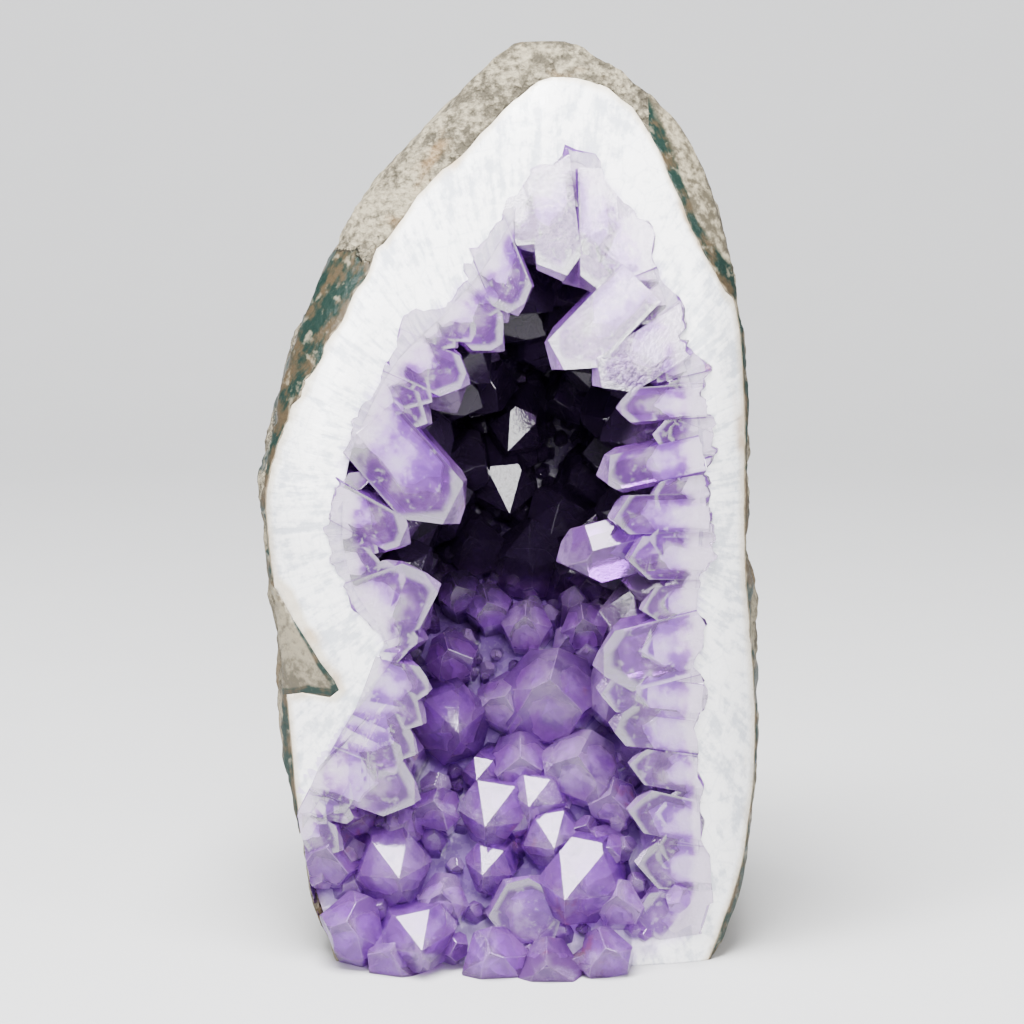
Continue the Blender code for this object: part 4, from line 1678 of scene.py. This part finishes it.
    def dress(
        self, crust: bpy.types.Object, crystals: Sequence[Crystal], turns: Sequence[float]
    ) -> None:
        """Keeps what the finish needs: where each face lies in its own crystal and in the stone.

        Args:
            crust: the joined crystals.
            crystals: what they were made from.
            turns: how each was turned about its axis.
        """
        mesh, form = crust.data, self.form
        points = mesh_points(crust)
        number = np.empty(len(mesh.polygons), np.float32)
        mesh.attributes["number"].data.foreach_get("value", number)
        number = np.rint(number).astype(int)
        sizes = np.empty(len(mesh.polygons), np.int32)
        mesh.polygons.foreach_get("loop_total", sizes)
        corner = np.empty(len(mesh.loops), np.int32)
        mesh.loops.foreach_get("vertex_index", corner)
        owner = np.repeat(number, sizes)
        back = np.array([np.eye(4)] + [c.turned(t).inverted() for c, t in zip(crystals, turns)])
        scale = np.array([[1, 1, 1]] + [[c.radius, c.radius, c.height()] for c in crystals])
        back = back[owner]
        own = np.einsum("nij,nj->ni", back[:, :3, :3], points[corner]) + back[:, :3, 3]
        write_numbers(crust, "grown", own / scale[owner], "CORNER")
        slope = self.tip_slope * scale[:, 0] / scale[:, 2]
        write_numbers(crust, "slope", slope[number], "FACE")
        tint = np.array([0.5] + [random.Random(n).random() for n in range(len(crystals))])
        write_numbers(crust, "tint", tint[number], "FACE")
        offset = points - form.hollow_centre
        reach = np.linalg.norm(offset, axis=1)
        write_numbers(crust, "wall", (form.hollow_radius(offset / reach[:, None]) - reach) / MM)
        write_numbers(crust, "hollow_shade", form.hollow_shade(points))

    def root_space(self) -> bpy.types.Object:
        """The hollow, swollen a little and unevenly, which holds the crystals with their roots.

        Returns:
            The closed shape.
        """
        room = star("root_room", self.form.hollow_centre, self.form.hollow_radius, 80)
        bm = bmesh.new()
        bm.from_mesh(room.data)
        bm.normal_update()
        for vert in bm.verts:
            spot = vert.co.copy()
            reach = 1.1 + 0.5 * noise.cell(spot / 0.0016) + 0.7 * noise.noise(spot / 0.0035)
            reach += 2.2 * noise.noise(spot / 0.0075)
            vert.co = spot + vert.normal * self.root_room * max(reach, 0.3)
        bm.to_mesh(room.data)
        bm.free()
        return room

    def build(self, base: bpy.types.Object, outside: Callable[[Array], Array]) -> None:
        """Makes the crust as one closed mesh of crystals.

        Args:
            base: everything above the base.
            outside: how far the rock's surface is from the pod's centre along unit directions.
        """
        form, rng = self.form, random.Random(self.seed)
        rim, floor = list(self.rim_crystals()), list(self.floor_crystals())
        large = rim + list(self.lining_crystals(rim + floor)) + floor
        large += list(self.between_crystals(rim)) + list(self.framing(self.fillers))
        crystals = large + list(self.druse_crystals(large))
        group = bpy.data.collections.new("crystals")
        bpy.context.scene.collection.children.link(group)
        turns = []
        for number, crystal in enumerate(crystals, start=1):
            state = rng.getstate()
            turns.append(rng.uniform(0, math.pi / 3))
            rng.setstate(state)
            obj = self.piece(crystal, number, rng)
            if obj is not None:
                bpy.context.scene.collection.objects.unlink(obj)
                group.objects.link(obj)
        crust = join(group, "crystal_crust")
        room = self.root_space()
        pod = star("pod_room", form.pod_centre, lambda d: outside(d) - self.skin, 112)
        for cutter in (room, pod, base):
            cut(crust, Cut.KEEP_INSIDE, cutter)
        self.milky_roots(large, (room, pod, base))
        for helper in (room, pod):
            bpy.data.objects.remove(helper)
        drop_crumbs(crust)
        self.dress(crust, crystals, turns)
        LOG.info("crystals: %d large, %d small", len(large), len(crystals) - len(large))
        place(crust, Slot.CRUST, self.finish.make())


# The studio


@dataclass(frozen=True)
class Studio:
    """A pale floor that sweeps up behind, soft lights and the camera."""

    floor_colour: Triple = (0.54, 0.54, 0.545)
    target: Triple = (0.00028, -0.01656, 0.0770)
    distance: float = 0.733
    elevation: float = 11.0
    lens: float = 150.0
    lamps: Sequence[tuple[str, Triple, float, float]] = (
        ("top_box", (-0.08, -0.20, 0.75), 0.44, 13.0),
        ("left_box", (-0.80, -0.60, 0.50), 0.40, 5.0),
        ("right_box", (0.85, -0.60, 0.45), 0.40, 3.6),
        ("front_box", (0.15, -1.20, 0.62), 0.38, 6.0),
    )
    lit_point: Triple = (0.0, 0.0, 0.07)
    sky: Triple = (0.86, 0.88, 0.92)
    sky_strength: float = 0.26
    exposure: float = 0.36

    def sweep(self) -> None:
        """The floor and the backdrop in one curved sheet."""
        profile = [(-1.5, 0.0), (0.45, 0.0)]
        for number in range(1, 13):
            angle = number / 12 * math.pi / 2
            profile.append((0.45 + 0.35 * math.sin(angle), 0.35 * (1 - math.cos(angle))))
        profile.append((0.80, 1.8))
        verts = [(x, y, z) for y, z in profile for x in (-1.8, 1.8)]
        faces = [(i, i + 1, i + 3, i + 2) for i in range(0, len(verts) - 2, 2)]
        mesh = bpy.data.meshes.new("studio_floor")
        mesh.from_pydata(verts, [], faces)
        mesh.shade_smooth()
        floor = bpy.data.objects.new("studio_floor", mesh)
        bpy.context.scene.collection.objects.link(floor)
        g = Graph("pale_paper")
        shade = tuple(tone * 0.97 for tone in self.floor_colour)
        tone = g.blend(g.noise(g.here(), 40, 3), self.floor_colour, shade)
        mesh.materials.append(g.finish(Base_Color=tone, Roughness=0.75, Specular_IOR_Level=0.2))
        floor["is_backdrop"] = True

    def light(self, name: str, at: Triple, size: float, power: float) -> None:
        """A square soft light aimed at the stone.

        Args:
            name: the light's name.
            at: where it hangs.
            size: the length of its side.
            power: its power in watts.
        """
        lamp = bpy.data.lights.new(name, "AREA")
        lamp.energy, lamp.size = power, size
        obj = bpy.data.objects.new(name, lamp)
        bpy.context.scene.collection.objects.link(obj)
        obj.location = at
        towards = Vector(at) - Vector(self.lit_point)
        obj.rotation_euler = towards.to_track_quat("Z", "Y").to_euler()

    def build(self) -> None:
        """Sets up the floor, the lights, the world and the camera."""
        self.sweep()
        for lamp in self.lamps:
            self.light(*lamp)
        world = bpy.data.worlds.new("studio")
        world.use_nodes = True
        world.node_tree.nodes["Background"].inputs[0].default_value = (*self.sky, 1)
        world.node_tree.nodes["Background"].inputs[1].default_value = self.sky_strength
        bpy.context.scene.world = world
        bpy.context.scene.view_settings.look = "AgX - Medium High Contrast"
        bpy.context.scene.view_settings.exposure = self.exposure
        lens = bpy.data.cameras.new("camera")
        lens.lens, lens.sensor_width, lens.clip_start = self.lens, 36.0, 0.01
        camera = bpy.data.objects.new("camera", lens)
        bpy.context.scene.collection.objects.link(camera)
        tilt = math.radians(self.elevation)
        back = Vector((0, -math.cos(tilt), math.sin(tilt)))
        camera.location = Vector(self.target) + back * self.distance
        camera.rotation_euler = (-back).to_track_quat("-Z", "Y").to_euler()
        bpy.context.scene.camera = camera


def main() -> None:
    """Builds the pieces in order."""
    logging.basicConfig(level=logging.INFO, format="%(name)s %(message)s")
    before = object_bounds()
    form = GeodeForm()
    front = block_behind("front_block", form, 132, 226)
    hollow = star("hollow_room", form.hollow_centre, form.hollow_radius, 80)
    base = base_block("base_block", Vector(before[0]), Vector(before[1]))
    rind = Rind(form)
    rind.build(front, hollow, base)
    QuartzShell(form).build(front, hollow, base)
    CrystalCrust(form).build(base, rind.outside)
    for helper in (front, hollow, base):
        bpy.data.objects.remove(helper)
    Studio().build()


if __name__ == "__main__":
    main()
